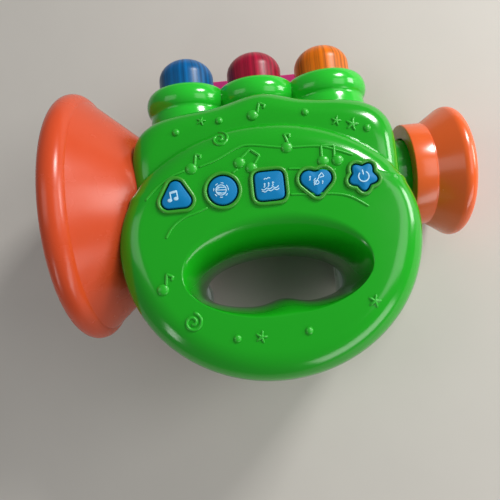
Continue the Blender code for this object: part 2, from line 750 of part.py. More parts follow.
def make_valve_block():
    """Three rolled collars run together on one base, bored for the caps."""
    crease = -math.degrees(
        math.acos((COLLAR_NECK_RADIUS - COLLAR_RING_RADIUS) / COLLAR_ROLL)
    )
    outside = [(0.0, COLLAR_TOP_Y)]
    outside += arc((COLLAR_RING_RADIUS, COLLAR_ROLL_Y), COLLAR_ROLL, 90.0, crease, 6)
    foot = BLOCK_BASE_Y + BLOCK_BASE_THICK / 2
    outside += [(COLLAR_NECK_RADIUS, foot), (0.0, foot)]
    bore = CAP_RADIUS + GAP
    well = CAP_FLANGE_RADIUS + GAP
    inside = [
        (0.0, COLLAR_TOP_Y + OVERRUN),
        (bore, COLLAR_TOP_Y + OVERRUN),
        (bore, COLLAR_STEP_Y),
        (well, COLLAR_STEP_Y),
        (well, BLOCK_BASE_Y - OVERRUN),
        (0.0, BLOCK_BASE_Y - OVERRUN),
    ]
    base_low = (-BLOCK_BASE_HALF_WIDTH, BLOCK_BASE_Y, -BLOCK_BASE_HALF_DEPTH)
    base_high = (BLOCK_BASE_HALF_WIDTH, BLOCK_BASE_Y + BLOCK_BASE_THICK, BLOCK_BASE_HALF_DEPTH)
    body = block("valve_block", base_low, base_high, "green")
    for index, name in enumerate(VALVE_NAMES):
        collar = place(turned("collar_" + name, outside, COLLAR_STEPS), x=valve_x(index), along="Y")
        collar.rotation_euler.y = collar_turn(index)
        fuse(body, collar)
    for index, name in enumerate(VALVE_NAMES):
        hole = turned("bore_" + name, inside, COLLAR_STEPS)
        cut(body, place(hole, x=valve_x(index), along="Y"))
    half = PLATE_THICK / 2 + GAP
    cut(body, block(
        "plate_slot",
        (-PLATE_HALF_WIDTH - GAP, PLATE_FOOT_Y - GAP, PLATE_Z - half),
        (PLATE_HALF_WIDTH + GAP, COLLAR_TOP_Y + OVERRUN, PLATE_Z + half),
    ))
    return body


def neck_space():
    """The room that the necks of the three collars take in the shells."""
    made = []
    for index, name in enumerate(VALVE_NAMES):
        profile = [
            (0.0, COLLAR_TOP_Y),
            (COLLAR_NECK_RADIUS + GAP, COLLAR_TOP_Y),
            (COLLAR_NECK_RADIUS + GAP, BLOCK_BASE_Y),
            (0.0, BLOCK_BASE_Y),
        ]
        space = turned("neck_space_" + name, profile, COLLAR_STEPS)
        made.append(place(space, x=valve_x(index), along="Y"))
        space.rotation_euler.y = collar_turn(index)
    return made


def make_back_plate():
    outline = rounded(2 * PLATE_HALF_WIDTH, PLATE_TOP_Y - PLATE_FOOT_Y, PLATE_CORNER)
    outline = outline + np.array([0.0, (PLATE_TOP_Y + PLATE_FOOT_Y) / 2])
    low = PLATE_Z - PLATE_THICK / 2
    return prism("valve_back_plate", outline, low, low + PLATE_THICK, "magenta")


def solid_of(wire):
    """Turns a bevelled curve into a mesh and closes its ends."""
    bpy.context.view_layer.update()
    evaluated = wire.evaluated_get(bpy.context.evaluated_depsgraph_get())
    mesh = bpy.data.meshes.new_from_object(evaluated)
    made = bmesh.new()
    made.from_mesh(mesh)
    bmesh.ops.remove_doubles(made, verts=made.verts, dist=WELD)
    made.to_mesh(mesh)
    made.free()
    mesh.shade_smooth()
    solid = bpy.data.objects.new(wire.name, mesh)
    PARTS.objects.link(solid)
    solid.parent = wire.parent
    name = wire.name
    bpy.data.objects.remove(wire, do_unlink=True)
    solid.name = name
    return solid


def make_spring(index):
    """One open coil between the board and the cap's foot, as an unbroken wire."""
    low = VALVE_BOARD_Y + GAP + SPRING_WIRE / 2
    high = CAP_FOOT_Y - GAP - SPRING_WIRE / 2
    count = SPRING_TURNS * SPRING_POINTS_A_TURN + 1
    name = "valve_spring_" + VALVE_NAMES[index]
    curve = bpy.data.curves.new(name, "CURVE")
    curve.dimensions = "3D"
    curve.bevel_depth = SPRING_WIRE / 2
    curve.bevel_resolution = 1
    curve.use_fill_caps = True
    spline = curve.splines.new("POLY")
    spline.points.add(count - 1)
    for i, point in enumerate(spline.points):
        turn = 2 * math.pi * i / SPRING_POINTS_A_TURN
        x = valve_x(index) + SPRING_RADIUS * math.cos(turn)
        z = SPRING_RADIUS * math.sin(turn)
        point.co = (x, low + (high - low) * i / (count - 1), z, 1.0)
    return solid_of(add_object(name, curve, "steel"))


def make_valve_board():
    return block(
        "valve_board",
        (-VALVE_BOARD_HALF_WIDTH, VALVE_BOARD_Y - BOARD_THICK, -VALVE_BOARD_HALF_DEPTH),
        (VALVE_BOARD_HALF_WIDTH, VALVE_BOARD_Y, VALVE_BOARD_HALF_DEPTH),
        "board",
    )


def make_led(index):
    """A round lamp with a domed end and a rim at its foot."""
    foot = VALVE_BOARD_Y + GAP
    top = foot + LED_HEIGHT
    dome = [
        (LED_RADIUS * math.sin(a), top - LED_RADIUS * (1 - math.cos(a)))
        for a in np.linspace(0.0, math.pi / 2, 4)
    ]
    dome[0] = (0.0, top)
    rim = LED_RADIUS + LED_RIM
    profile = dome + [
        (LED_RADIUS, foot + 2 * LED_RIM),
        (rim, foot + 2 * LED_RIM),
        (rim, foot),
        (0.0, foot),
    ]
    led = turned("valve_led_" + VALVE_NAMES[index], profile, 12, "lamp")
    return place(led, x=valve_x(index), along="Y")


def circle_shape():
    t = turn_angles(BUTTON_POINTS) + math.pi / BUTTON_POINTS
    return np.column_stack([np.cos(t), np.sin(t)]) / 2


def square_shape():
    t = turn_angles(BUTTON_POINTS) + math.pi / BUTTON_POINTS
    c = np.cos(t)
    s = np.sin(t)
    fullness_share = 0.36
    return np.column_stack([
        np.sign(c) * np.abs(c) ** fullness_share, np.sign(s) * np.abs(s) ** fullness_share
    ]) / 2


def triangle_shape():
    """Three round corners joined by straight sides, with one corner up."""
    corner_share = 0.24
    reach_share = 0.31
    drop_share = 0.06
    points = []
    for k in range(3):
        up = 90.0 + 120.0 * k
        turn = math.radians(up)
        centre = (reach_share * math.cos(turn), reach_share * math.sin(turn) - drop_share)
        points += arc(centre, corner_share, up - 60.0, up + 60.0, BUTTON_POINTS // 3)
    return np.array(points)


def heart_shape():
    t = turn_angles(BUTTON_POINTS)
    x_shares = (0.495, -0.047)
    y_shares = (0.46, -0.15, -0.027)
    lift_share = 0.08
    x = x_shares[0] * np.sin(t) + x_shares[1] * np.sin(3 * t)
    y = y_shares[0] * np.cos(t) + y_shares[1] * np.cos(2 * t) + y_shares[2] * np.cos(3 * t)
    y = y + lift_share
    return np.column_stack([x, y])[::-1]


def star_shape():
    """Five soft lobes, with one of them down."""
    t = turn_angles(BUTTON_POINTS) - math.pi / 2
    radius_share = 0.43
    lobe_share = 0.155
    radius = radius_share * (1 + lobe_share * np.cos(5 * (t + math.pi / 2)))
    return np.column_stack([radius * np.cos(t), radius * np.sin(t)])


BUTTON_SHAPES = {
    "triangle": triangle_shape,
    "circle": circle_shape,
    "square": square_shape,
    "heart": heart_shape,
    "star": star_shape,
}


def button_centre(index):
    return np.array([(index - 2) * BUTTON_SPACING, BUTTON_Y])


def button_outline(index, growth=0.0):
    """Outline of one button in its place in the row, grown all round."""
    shape = list(BUTTON_SHAPES.values())[index]()
    return button_centre(index) + offset(shape * BUTTON_SIZE, growth)


BUTTON_FLANGE_Z = FACE_Z - WALL - GAP
BUTTON_FOOT_Z = BUTTON_FLANGE_Z - BUTTON_FLANGE_THICK - BUTTON_STEM
MAT_PAD_Z = BUTTON_FOOT_Z - BUTTON_TRAVEL - GAP
MAT_Z = MAT_PAD_Z - MAT_PAD_HEIGHT
MAIN_BOARD_Z = MAT_Z - MAT_THICK - GAP


def make_button(index, shape):
    """A shaped cap on a wider flange, on a round stem that meets the rubber pad."""
    centre = button_centre(index)
    start = button_outline(index)[0] - centre
    t = turn_angles(BUTTON_POINTS) + math.atan2(start[1], start[0])
    stem = centre + BUTTON_STEM_RADIUS * np.column_stack([np.cos(t), np.sin(t)])
    flange = button_outline(index, BUTTON_FLANGE)
    cap = button_outline(index)
    top = FACE_Z + BUTTON_PROUD
    low = BUTTON_FLANGE_Z - BUTTON_FLANGE_THICK
    rings = [
        at_height(stem, BUTTON_FOOT_Z),
        at_height(stem, low),
        at_height(flange, low),
        at_height(flange, BUTTON_FLANGE_Z),
        at_height(cap, BUTTON_FLANGE_Z),
        at_height(cap, top - BUTTON_EDGE),
        at_height(offset(cap, -BUTTON_EDGE), top),
        at_height(centre + (cap - centre) / 2, top + BUTTON_CROWN),
    ]
    return loft("button_" + shape, rings, False, "blue")


def make_mat():
    """The rubber mat, with one round pad under each button."""
    outline = rounded(2 * MAT_HALF_WIDTH, 2 * MAT_HALF_DEPTH, MAT_PAD_RADIUS)
    mat = prism("button_mat", outline + np.array([0.0, BUTTON_Y]), MAT_Z - MAT_THICK, MAT_Z, "rubber")
    spots = [button_centre(index) for index in range(len(BUTTON_SHAPES))]
    fuse(mat, cylinders("mat_pads", spots, MAT_PAD_RADIUS, MAT_Z - MAT_THICK / 2, MAT_PAD_Z))
    return mat


def make_main_board():
    return block(
        "main_board",
        (-MAIN_BOARD_HALF_WIDTH, MAIN_BOARD_FRONT_Y, MAIN_BOARD_Z - BOARD_THICK),
        (MAIN_BOARD_HALF_WIDTH, MAIN_BOARD_BACK_Y, MAIN_BOARD_Z),
        "board",
    )


CELL_BAY_Y = BOX_END_Y + DOOR_SCREW_BAY
CELL_BAY_LENGTH = CELL_LENGTH + CELL_NIPPLE + 2 * CONTACT_THICK + 4 * GAP
BOX_BACK_Y = CELL_BAY_Y + CELL_BAY_LENGTH + BOX_WALL
BOX_FOOT_Z = DOOR_Z + DOOR_THICK + GAP
CELL_Z = BOX_FOOT_Z + CELL_RADIUS
BOX_TOP_Z = CELL_Z + CELL_RADIUS + GAP + BOX_WALL


def box_outline(growth=0.0):
    """Outline of the battery box, cut back at the corner by the round of the body."""
    right = BOX_RIGHT_X
    spots = (
        ((right - BOX_CORNER, BOX_BACK_Y - BOX_CORNER), BOX_CORNER, 0.0),
        ((BOX_LEFT_X + BOX_CORNER, BOX_BACK_Y - BOX_CORNER), BOX_CORNER, 90.0),
        ((BOX_LEFT_X + BOX_CORNER, BOX_END_Y + BOX_CORNER), BOX_CORNER, 180.0),
        ((right - BOX_BIG_CORNER, BOX_END_Y + BOX_BIG_CORNER), BOX_BIG_CORNER, 270.0),
    )
    points = []
    for centre, corner, start in spots:
        points += arc(centre, corner + growth, start, start + 90.0, 5)
    return np.array(points)


def make_battery_box():
    """White housing let into the rear shell, open below, with two bays and a screw boss."""
    box = prism("battery_box", box_outline(), BOX_FOOT_Z, BOX_TOP_Z, "white")
    cut(box, block(
        "cell_bay",
        (BOX_LEFT_X + BOX_WALL, CELL_BAY_Y, BOX_FOOT_Z - OVERRUN),
        (BOX_RIGHT_X - BOX_WALL, BOX_BACK_Y - BOX_WALL, BOX_TOP_Z - BOX_WALL),
    ))
    cut(box, cylinders(
        "door_pilot", [DOOR_SCREW_PLACE], SCREW_RADIUS + GAP, BOX_FOOT_Z - OVERRUN,
        DOOR_Z + DOOR_SCREW_LENGTH + GAP,
    ))
    tab_x = BOX_LEFT_X + BOX_CORNER
    seat = -SHOULDER_REAR_Z + WALL + GAP
    fuse(box, block(
        "box_tab",
        (tab_x, BOX_BACK_Y - BOX_WALL / 2, seat),
        (tab_x + BOX_TAB_WIDTH, BOX_BACK_Y + BOX_TAB, seat + BOX_WALL),
    ))
    return box


DOOR_SCREW_PLACE = (BOX_LEFT_X + DOOR_SCREW_BAY * 0.75, BOX_END_Y + DOOR_SCREW_BAY / 2)
DOOR_SINK = DOOR_THICK / 2


def make_battery_door():
    """Flat lid over the cells, sunk round the head of its screw."""
    door = prism("battery_door", box_outline(), DOOR_Z, DOOR_Z + DOOR_THICK, "white")
    cut(door, cylinders(
        "door_screw_sink", [DOOR_SCREW_PLACE], SCREW_HEAD_RADIUS + GAP, DOOR_Z - OVERRUN,
        DOOR_Z + DOOR_SINK,
    ))
    cut(door, cylinders(
        "door_screw_hole", [DOOR_SCREW_PLACE], SCREW_RADIUS + GAP, DOOR_Z - OVERRUN,
        DOOR_Z + DOOR_THICK + OVERRUN,
    ))
    return door


def make_cell(index):
    """One AAA cell with its nipple, lying along the box."""
    x = BOX_LEFT_X + BOX_WALL + GAP + CELL_RADIUS + index * (2 * CELL_RADIUS + GAP)
    low = CELL_BAY_Y + GAP + CONTACT_THICK + GAP
    end = low + CELL_LENGTH
    edge = GAP
    profile = [
        (0.0, end + CELL_NIPPLE),
        (CELL_NIPPLE_RADIUS, end + CELL_NIPPLE),
        (CELL_NIPPLE_RADIUS, end),
        (CELL_RADIUS - edge, end),
        (CELL_RADIUS, end - edge),
        (CELL_RADIUS, low + edge),
        (CELL_RADIUS - edge, low),
        (0.0, low),
    ]
    cell = turned(f"battery_cell_{index + 1}", profile, 16, "cell")
    return place(cell, x=x, z=CELL_Z, along="Y")


def make_contacts():
    """A link plate across the far ends of the cells, and one plate at each near end."""
    half = CONTACT_HEIGHT / 2
    far = BOX_BACK_Y - BOX_WALL - GAP
    near = CELL_BAY_Y + GAP
    left = BOX_LEFT_X + BOX_WALL + GAP + CELL_RADIUS
    right = left + 2 * CELL_RADIUS + GAP
    wide = CONTACT_WIDTH / 2
    plates = (
        ("contact_link", left - wide, right + wide, far - CONTACT_THICK, far),
        ("contact_plus", left - wide, left + wide, near, near + CONTACT_THICK),
        ("contact_minus", right - wide, right + wide, near, near + CONTACT_THICK),
    )
    for name, low_x, high_x, low_y, high_y in plates:
        block(name, (low_x, low_y, CELL_Z - half), (high_x, high_y, CELL_Z + half), "steel")


def screw(name, x, y, head_z, length):
    """A pan-head screw pointing up from its head."""
    profile = [
        (0.0, head_z + length),
        (SCREW_RADIUS - GAP, head_z + length),
        (SCREW_RADIUS, head_z + length - 2 * SCREW_RADIUS),
        (SCREW_RADIUS, head_z),
        (SCREW_HEAD_RADIUS, head_z),
        (SCREW_HEAD_RADIUS, head_z - SCREW_HEAD_THICK / 2),
        (SCREW_HEAD_RADIUS - SCREW_HEAD_THICK / 2, head_z - SCREW_HEAD_THICK),
        (0.0, head_z - SCREW_HEAD_THICK),
    ]
    return place(turned(name, profile, 10, "steel"), x=x, y=y)


def make_speaker_cover():
    """White cup over the loudspeaker, with a slotted end."""
    inner = POD_RADIUS - POD_WALL
    profile = [
        (inner, POD_TOP_Z),
        (POD_RADIUS, POD_TOP_Z),
        (POD_RADIUS, POD_BOTTOM_Z + POD_WALL),
        (POD_RADIUS - POD_WALL, POD_BOTTOM_Z),
        (0.0, POD_BOTTOM_Z),
    ]
    floor = POD_BOTTOM_Z + POD_WALL
    profile = [(0.0, floor), (inner, floor)] + profile
    cover = place(turned("speaker_cover", profile, 24, "white"), x=SPEAKER_X, y=SPEAKER_Y)
    reach = inner - 2 * POD_WALL
    for k in range(GRILLE_SLOTS):
        y = (k - (GRILLE_SLOTS - 1) / 2) * GRILLE_PITCH
        half = math.sqrt(reach**2 - y**2)
        cut(cover, block(
            f"grille_slot_{k + 1}",
            (SPEAKER_X - half, SPEAKER_Y + y - GRILLE_SLOT / 2, POD_BOTTOM_Z - OVERRUN),
            (SPEAKER_X + half, SPEAKER_Y + y + GRILLE_SLOT / 2, floor + POD_WALL),
        ))
    return cover


def make_speaker():
    low = POD_BOTTOM_Z + POD_WALL + GAP
    frame_top = low + SPEAKER_FRAME_THICK
    edge = POD_RADIUS - POD_WALL - GAP
    profile = [
        (0.0, low + SPEAKER_HEIGHT),
        (SPEAKER_MAGNET_RADIUS, low + SPEAKER_HEIGHT),
        (SPEAKER_MAGNET_RADIUS, low + SPEAKER_HEIGHT / 2),
        (edge - SPEAKER_FRAME_THICK, frame_top),
        (edge, frame_top),
        (edge, low),
        (0.0, low),
    ]
    return place(turned("speaker", profile, 20, "black"), x=SPEAKER_X, y=SPEAKER_Y)


def saddle(name, x, low_y, high_y, end_z):
    """A rib across the inside of a shell, which keeps a flange from pulling out.

    It reaches into the groove that is cut for the flange, so that the cut gives it its face.
    """
    near, far = sorted((parting_z(end_z) + math.copysign(GAP, end_z), end_z))
    return block(name, (x - GAP / 2, low_y, near), (x + SADDLE_THICK + GAP / 2, high_y, far))


HORN_SADDLE_X = HORN_FLANGE_X - HORN_FLANGE_THICK - GAP - SADDLE_THICK
PIPE_SADDLE_X = PIPE_FLANGE_X + PIPE_FLANGE_THICK + GAP
SADDLE_TOP_Y = VALVE_BOARD_Y - BOARD_THICK - GAP


def inside_of(name, side):
    """The shell's own outside, drawn in by half a wall, which trims what stands inside it."""
    trim = disc_solid(name, side, WALL / 2, CAVITY_POINTS, 3, OVERRUN)
    fuse(trim, shoulder_solid(name + "_shoulder", side, WALL / 2, CAVITY_POINTS, 3, OVERRUN))
    return trim


def make_shell(name, side):
    """Half of the body: the disc and the shoulder as one outside, hollowed to one wall."""
    shell = disc_solid(name, side, 0.0, BODY_POINTS, 5, colour="green")
    fuse(shell, shoulder_solid(name + "_shoulder", side, 0.0, BODY_POINTS, 4))
    cut(shell, disc_solid(name + "_cavity", side, WALL, CAVITY_POINTS, 3, OVERRUN))
    cut(shell, shoulder_solid(name + "_shoulder_cavity", side, WALL, CAVITY_POINTS, 3, OVERRUN))
    return shell


def make_front_shell():
    shell = make_shell("front_shell", 1)
    trim = inside_of("front_trim", 1)
    posts = cylinders("front_posts", SCREW_PLACES, POST_RADIUS, GAP, FACE_Z, 12)
    boards = [
        (sx * BOARD_POST_X, y)
        for sx in (-1, 1)
        for y in (MAIN_BOARD_FRONT_Y + BOARD_POST_INSET, MAIN_BOARD_BACK_Y - BOARD_POST_INSET)
    ]
    board_posts = cylinders("board_posts", boards, BOARD_POST_RADIUS, MAIN_BOARD_Z + GAP, FACE_Z, 8)
    under_board = MAIN_BOARD_Z - BOARD_THICK - GAP
    low_y = DISC_Y - DISC_BELOW
    horn_rib = saddle("front_horn_saddle", HORN_SADDLE_X, low_y, SADDLE_TOP_Y, under_board)
    low_y = MOUTH_Y - PIPE_FLANGE_RADIUS
    high_y = MOUTH_Y + PIPE_FLANGE_RADIUS
    pipe_rib = saddle("front_pipe_saddle", PIPE_SADDLE_X, low_y, high_y, FACE_Z)
    for inner in (posts, board_posts, horn_rib, pipe_rib):
        boolean(inner, trim, "INTERSECT")
        fuse(shell, inner)
    cut(shell, cylinders(
        "front_pilots", SCREW_PLACES, SCREW_RADIUS + GAP, -OVERRUN,
        SCREW_SEAT_Z + SCREW_LENGTH + GAP, 12,
    ))
    low = FACE_Z - WALL / 2
    for index, shape in enumerate(BUTTON_SHAPES):
        growth = BUTTON_CLEARANCE + RIM_WIDTH
        rim = prism("rim_" + shape, button_outline(index, growth), low, FACE_Z + RIM_HEIGHT, edge=RIM_EDGE)
        fuse(shell, rim)
    for index, shape in enumerate(BUTTON_SHAPES):
        window = button_outline(index, BUTTON_CLEARANCE)
        cut(shell, prism("window_" + shape, window, BUTTON_FLANGE_Z, FACE_Z + OVERRUN))
    return shell


def make_rear_shell():
    shell = make_shell("rear_shell", -1)
    trim = inside_of("rear_trim", -1)
    sleeve_top = parting_z(-1) - GAP
    sleeves = cylinders("rear_sleeves", SCREW_PLACES, SLEEVE_RADIUS, -REAR_Z, sleeve_top, 12)
    horn_rib = saddle("rear_horn_saddle", HORN_SADDLE_X, -SADDLE_TOP_Y, SADDLE_TOP_Y, -REAR_Z)
    for inner in (sleeves, horn_rib):
        boolean(inner, trim, "INTERSECT")
        fuse(shell, inner)
    sink = SCREW_HEAD_RADIUS + GAP
    cut(shell, cylinders("rear_sinks", SCREW_PLACES, sink, -REAR_Z - OVERRUN, SCREW_SEAT_Z + GAP, 12))
    cut(shell, cylinders("rear_holes", SCREW_PLACES, SCREW_RADIUS + GAP, -REAR_Z, OVERRUN, 12))
    spot = [(SPEAKER_X, SPEAKER_Y)]
    cut(shell, cylinders("pod_space", spot, POD_RADIUS + GAP, -REAR_Z - OVERRUN, POD_TOP_Z + GAP, 24))
    low = DOOR_Z - OVERRUN
    cut(shell, prism("box_space", box_outline(GAP), low, BOX_TOP_Z + GAP))
    return shell


def build():
    front = make_front_shell()
    rear = make_rear_shell()
    block_body = make_valve_block()
    necks = neck_space()
    horn_room = horn_space()
    pipe_room = pipe_space()
    for shell in (front, rear):
        cut(shell, horn_room, pipe_room, *necks)
    cut(block_body, horn_room)
    make_horn()
    make_mouthpiece()
    make_pipe()
    make_back_plate()
    make_valve_board()
    for index in range(len(VALVE_NAMES)):
        make_cap(index)
        make_spring(index)
        make_led(index)
    for index, shape in enumerate(BUTTON_SHAPES):
        make_button(index, shape)
    make_mat()
    make_main_board()
    make_speaker_cover()
    make_speaker()
    make_battery_box()
    make_battery_door()
    make_cell(0)
    make_cell(1)
    make_contacts()
    for index, (x, y) in enumerate(SCREW_PLACES):
        screw(f"case_screw_{index + 1}", x, y, SCREW_SEAT_Z, SCREW_LENGTH)
    screw("door_screw", *DOOR_SCREW_PLACE, DOOR_Z + DOOR_SINK, DOOR_SCREW_LENGTH - DOOR_SINK)


build()
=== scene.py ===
"""Toy trumpet lying on its back: a moulded body with a handle hole, a flared horn, a cup
mouthpiece, three sprung valve caps and five shaped push buttons.

The sections follow the toy as it is put together. Every shape is worked out in the toy's own
axes, in millimetres, and then settled into the row frame, where the toy leans on the edge of
its wide horn.
"""
import math

import bmesh
import bpy
import numpy as np
from mathutils import Matrix, Vector


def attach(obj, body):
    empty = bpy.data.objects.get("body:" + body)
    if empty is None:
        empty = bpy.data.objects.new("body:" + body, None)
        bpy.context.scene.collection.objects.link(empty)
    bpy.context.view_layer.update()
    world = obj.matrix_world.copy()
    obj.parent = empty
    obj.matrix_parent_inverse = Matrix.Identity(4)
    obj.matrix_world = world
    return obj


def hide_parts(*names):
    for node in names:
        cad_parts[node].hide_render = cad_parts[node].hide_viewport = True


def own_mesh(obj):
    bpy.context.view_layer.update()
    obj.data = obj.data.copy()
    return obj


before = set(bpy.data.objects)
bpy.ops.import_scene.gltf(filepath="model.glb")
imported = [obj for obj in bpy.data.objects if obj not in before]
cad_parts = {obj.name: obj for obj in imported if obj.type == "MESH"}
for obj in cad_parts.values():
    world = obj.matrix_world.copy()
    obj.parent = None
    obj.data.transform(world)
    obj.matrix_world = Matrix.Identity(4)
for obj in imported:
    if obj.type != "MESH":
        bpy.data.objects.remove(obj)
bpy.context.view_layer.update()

# Rear shell: the half of the body that the toy lies on, moulded in glossy green plastic.
# A shallow dish with the narrow end of the handle hole, holes for the pod and the battery
# box, and five sunk screw holes.

LEAN = 0.1579832921169358
LIFT = (1.08363, 2.5, 40.69367)
WALL = 2.0
GAP = 0.3
DISC = {"centre": (-1.2, -20.5), "half_width": 58.6, "above": 45.0, "below": 53.5, "power": 2.0}
SHOULDER = {"centre": (-0.3, 4.5), "half_width": 53.0, "above": 30.8, "below": 12.0, "power": 4.2}
FRONT = {"disc": 40.0, "shoulder": 34.0, "shoulder_roll": 9.0, "fillet": 6.0, "base": 0.0}
REAR = {"disc": 28.0, "shoulder": 25.0, "shoulder_roll": 7.0, "fillet": 2.0, "base": GAP}
OUTLINE_FILLET = 3.0
DISC_ROLL, HANDLE_ROLL, HANDLE_FROM, HANDLE_RUN = 9.0, 4.0, 0.45, 0.8
SWELL_HIGH, SWELL_WIDE, SWELL_RUN = 4.5, 13.0, 20.0
STEEP = 12.0
HOLE_CENTRE = np.array([0.0, -31.0])
LIP = {"half_width": 35.5, "above": 20.5, "below": 18.5, "middle": (0.0, -31.0)}
THROAT = {"half_width": 31.5, "above": 13.0, "below": 9.2, "middle": (0.5, -37.0)}
THROAT_SQUARE, THROAT_LIP = 0.75, 3.5
BUMP_X, BUMP_WIDE, BUMP_HIGH = 3.0, 8.0, 3.0
COLUMNS = 320
WALL_ROWS, FACE_ROWS, HOLE_ROWS = 29, 600, 59
TURN_COST = 5.0
CREASE = 32.0
WELD = 0.000003
SCREW_PLACES = ((-20.0, 18.5), (20.0, 18.5), (-34.0, -58.0), (34.0, -58.0), (0.0, -64.0))
GREEN = (22, 156, 24)


def settle(points):
    """Toy millimetres to row metres: turned by the lean about Y, then lifted off the table."""
    x, y, z = np.moveaxis(np.asarray(points, dtype=float), -1, 0)
    c, s = math.cos(LEAN), math.sin(LEAN)
    placed = [x * c + z * s + LIFT[0], y + LIFT[1], z * c - x * s + LIFT[2]]
    return np.stack(placed, -1) / 1000


def paint(red, green, blue, alpha=1.0):
    """A colour given as it looks on a screen, from 0 to 255, as light for the shader."""
    seen = np.array([red, green, blue]) / 255
    light = np.where(seen > 0.04045, ((seen + 0.055) / 1.055) ** 2.4, seen / 12.92)
    return (*light.tolist(), alpha)


def moulded_skin():
    """Unevenness of a handled moulding: slow cloudiness in the colour, smears in the gloss
    where fingers have been, and a slow swell that bends the highlights."""
    group = bpy.data.node_groups.new("moulded skin", "ShaderNodeTree")
    inputs = (("Colour", "NodeSocketColor"), ("Cloud", "NodeSocketFloat"),
              ("Gloss", "NodeSocketFloat"), ("Smear", "NodeSocketFloat"))
    for label, kind in inputs:
        group.interface.new_socket(name=label, in_out="INPUT", socket_type=kind)
    for label, kind in (("Colour", "NodeSocketColor"), ("Roughness", "NodeSocketFloat"),
                        ("Swell", "NodeSocketFloat")):
        group.interface.new_socket(name=label, in_out="OUTPUT", socket_type=kind)
    nodes, links = group.nodes, group.links
    given, made = nodes.new("NodeGroupInput"), nodes.new("NodeGroupOutput")
    where = nodes.new("ShaderNodeTexCoord")

    def noise(scale, detail):
        node = nodes.new("ShaderNodeTexNoise")
        node.inputs["Scale"].default_value = scale
        node.inputs["Detail"].default_value = detail
        links.new(where.outputs["Object"], node.inputs["Vector"])
        return node.outputs["Fac"]

    def sum_of(share, amount, start):
        """start + amount * (share - 0.5), or plus start where it is a socket."""
        middle = nodes.new("ShaderNodeMath")
        middle.operation = "SUBTRACT"
        links.new(share, middle.inputs[0])
        middle.inputs[1].default_value = 0.5
        total = nodes.new("ShaderNodeMath")
        total.operation = "MULTIPLY_ADD"
        links.new(middle.outputs[0], total.inputs[0])
        links.new(amount, total.inputs[1])
        if isinstance(start, float):
            total.inputs[2].default_value = start
        else:
            links.new(start, total.inputs[2])
        return total.outputs[0]

    shade = nodes.new("ShaderNodeHueSaturation")
    links.new(given.outputs["Colour"], shade.inputs["Color"])
    links.new(sum_of(noise(28.0, 3.0), given.outputs["Cloud"], 1.0), shade.inputs["Value"])
    links.new(shade.outputs["Color"], made.inputs["Colour"])
    smear = sum_of(noise(75.0, 5.0), given.outputs["Smear"], given.outputs["Gloss"])
    links.new(smear, made.inputs["Roughness"])
    links.new(noise(55.0, 1.0), made.inputs["Swell"])
    return group


SKIN = moulded_skin()


def plastic(name, colour, gloss=0.16, smear=0.10, cloud=0.10, swell=0.05, clear=0.0, coat=0.0,
            shine=0.5):
    """A moulded plastic with the uneven skin; clear lets light through."""
    look = bpy.data.materials.new(name)
    look.use_nodes = True
    nodes, links = look.node_tree.nodes, look.node_tree.links
    shader = nodes["Principled BSDF"]
    shader.inputs["IOR"].default_value = 1.5
    shader.inputs["Specular IOR Level"].default_value = shine
    shader.inputs["Coat Weight"].default_value = coat
    shader.inputs["Coat Roughness"].default_value = 0.06
    shader.inputs["Transmission Weight"].default_value = clear
    skin_node = nodes.new("ShaderNodeGroup")
    skin_node.node_tree = SKIN
    for label, value in (("Colour", paint(*colour)), ("Cloud", cloud), ("Gloss", gloss),
                         ("Smear", smear)):
        skin_node.inputs[label].default_value = value
    links.new(skin_node.outputs["Colour"], shader.inputs["Base Color"])
    links.new(skin_node.outputs["Roughness"], shader.inputs["Roughness"])
    bump = nodes.new("ShaderNodeBump")
    bump.inputs["Strength"].default_value = swell
    bump.inputs["Distance"].default_value = 0.002
    links.new(skin_node.outputs["Swell"], bump.inputs["Height"])
    links.new(bump.outputs["Normal"], shader.inputs["Normal"])
    return look


def skin(name, grids, look, ring=False, crease=CREASE):
    """One mesh over grids of points [row, place round it]. Each row closes on itself, the rows
    too with ring, and a row of one repeated point closes an end. A grid whose volume comes
    out negative is turned over, so that every face points outwards."""
    points, faces, start = [], [], 0
    for grid in grids:
        rows, around = grid.shape[:2]
        row, place = np.indices((rows if ring else rows - 1, around)).reshape(2, -1)
        above, beside = (row + 1) % rows, (place + 1) % around
        quads = np.stack([row * around + place, row * around + beside,
                          above * around + beside, above * around + place], -1)
        flat = grid.reshape(-1, 3)
        corner = flat[quads]
        facing = np.cross(corner[:, 2] - corner[:, 0], corner[:, 3] - corner[:, 1])
        if np.sum((corner.mean(1) - flat.mean(0)) * facing) < 0:
            quads = quads[:, ::-1]
        points.append(flat)
        faces.append(quads + start)
        start += len(flat)
    mesh = bpy.data.meshes.new(name)
    mesh.from_pydata(settle(np.concatenate(points)).tolist(), [], np.concatenate(faces).tolist())
    work = bmesh.new()
    work.from_mesh(mesh)
    bmesh.ops.remove_doubles(work, verts=work.verts, dist=WELD)
    work.to_mesh(mesh)
    work.free()
    mesh.materials.append(look)
    mesh.shade_smooth()
    mesh.set_sharp_from_angle(angle=math.radians(crease))
    made = bpy.data.objects.new(name, mesh)
    bpy.context.scene.collection.objects.link(made)
    return made


def joined(piece, tool, operation="DIFFERENCE"):
    """Works a tool into a piece, keeps the outcome as the piece's mesh and drops the tool."""
    step = piece.modifiers.new("step", "BOOLEAN")
    step.solver = "EXACT"
    step.operation = operation
    step.object = tool
    bpy.context.view_layer.update()
    worked = piece.evaluated_get(bpy.context.evaluated_depsgraph_get())
    mesh = bpy.data.meshes.new_from_object(worked)
    piece.modifiers.clear()
    piece.data = mesh
    mesh.shade_smooth()
    mesh.set_sharp_from_angle(angle=math.radians(CREASE))
    bpy.data.objects.remove(tool)
    return piece


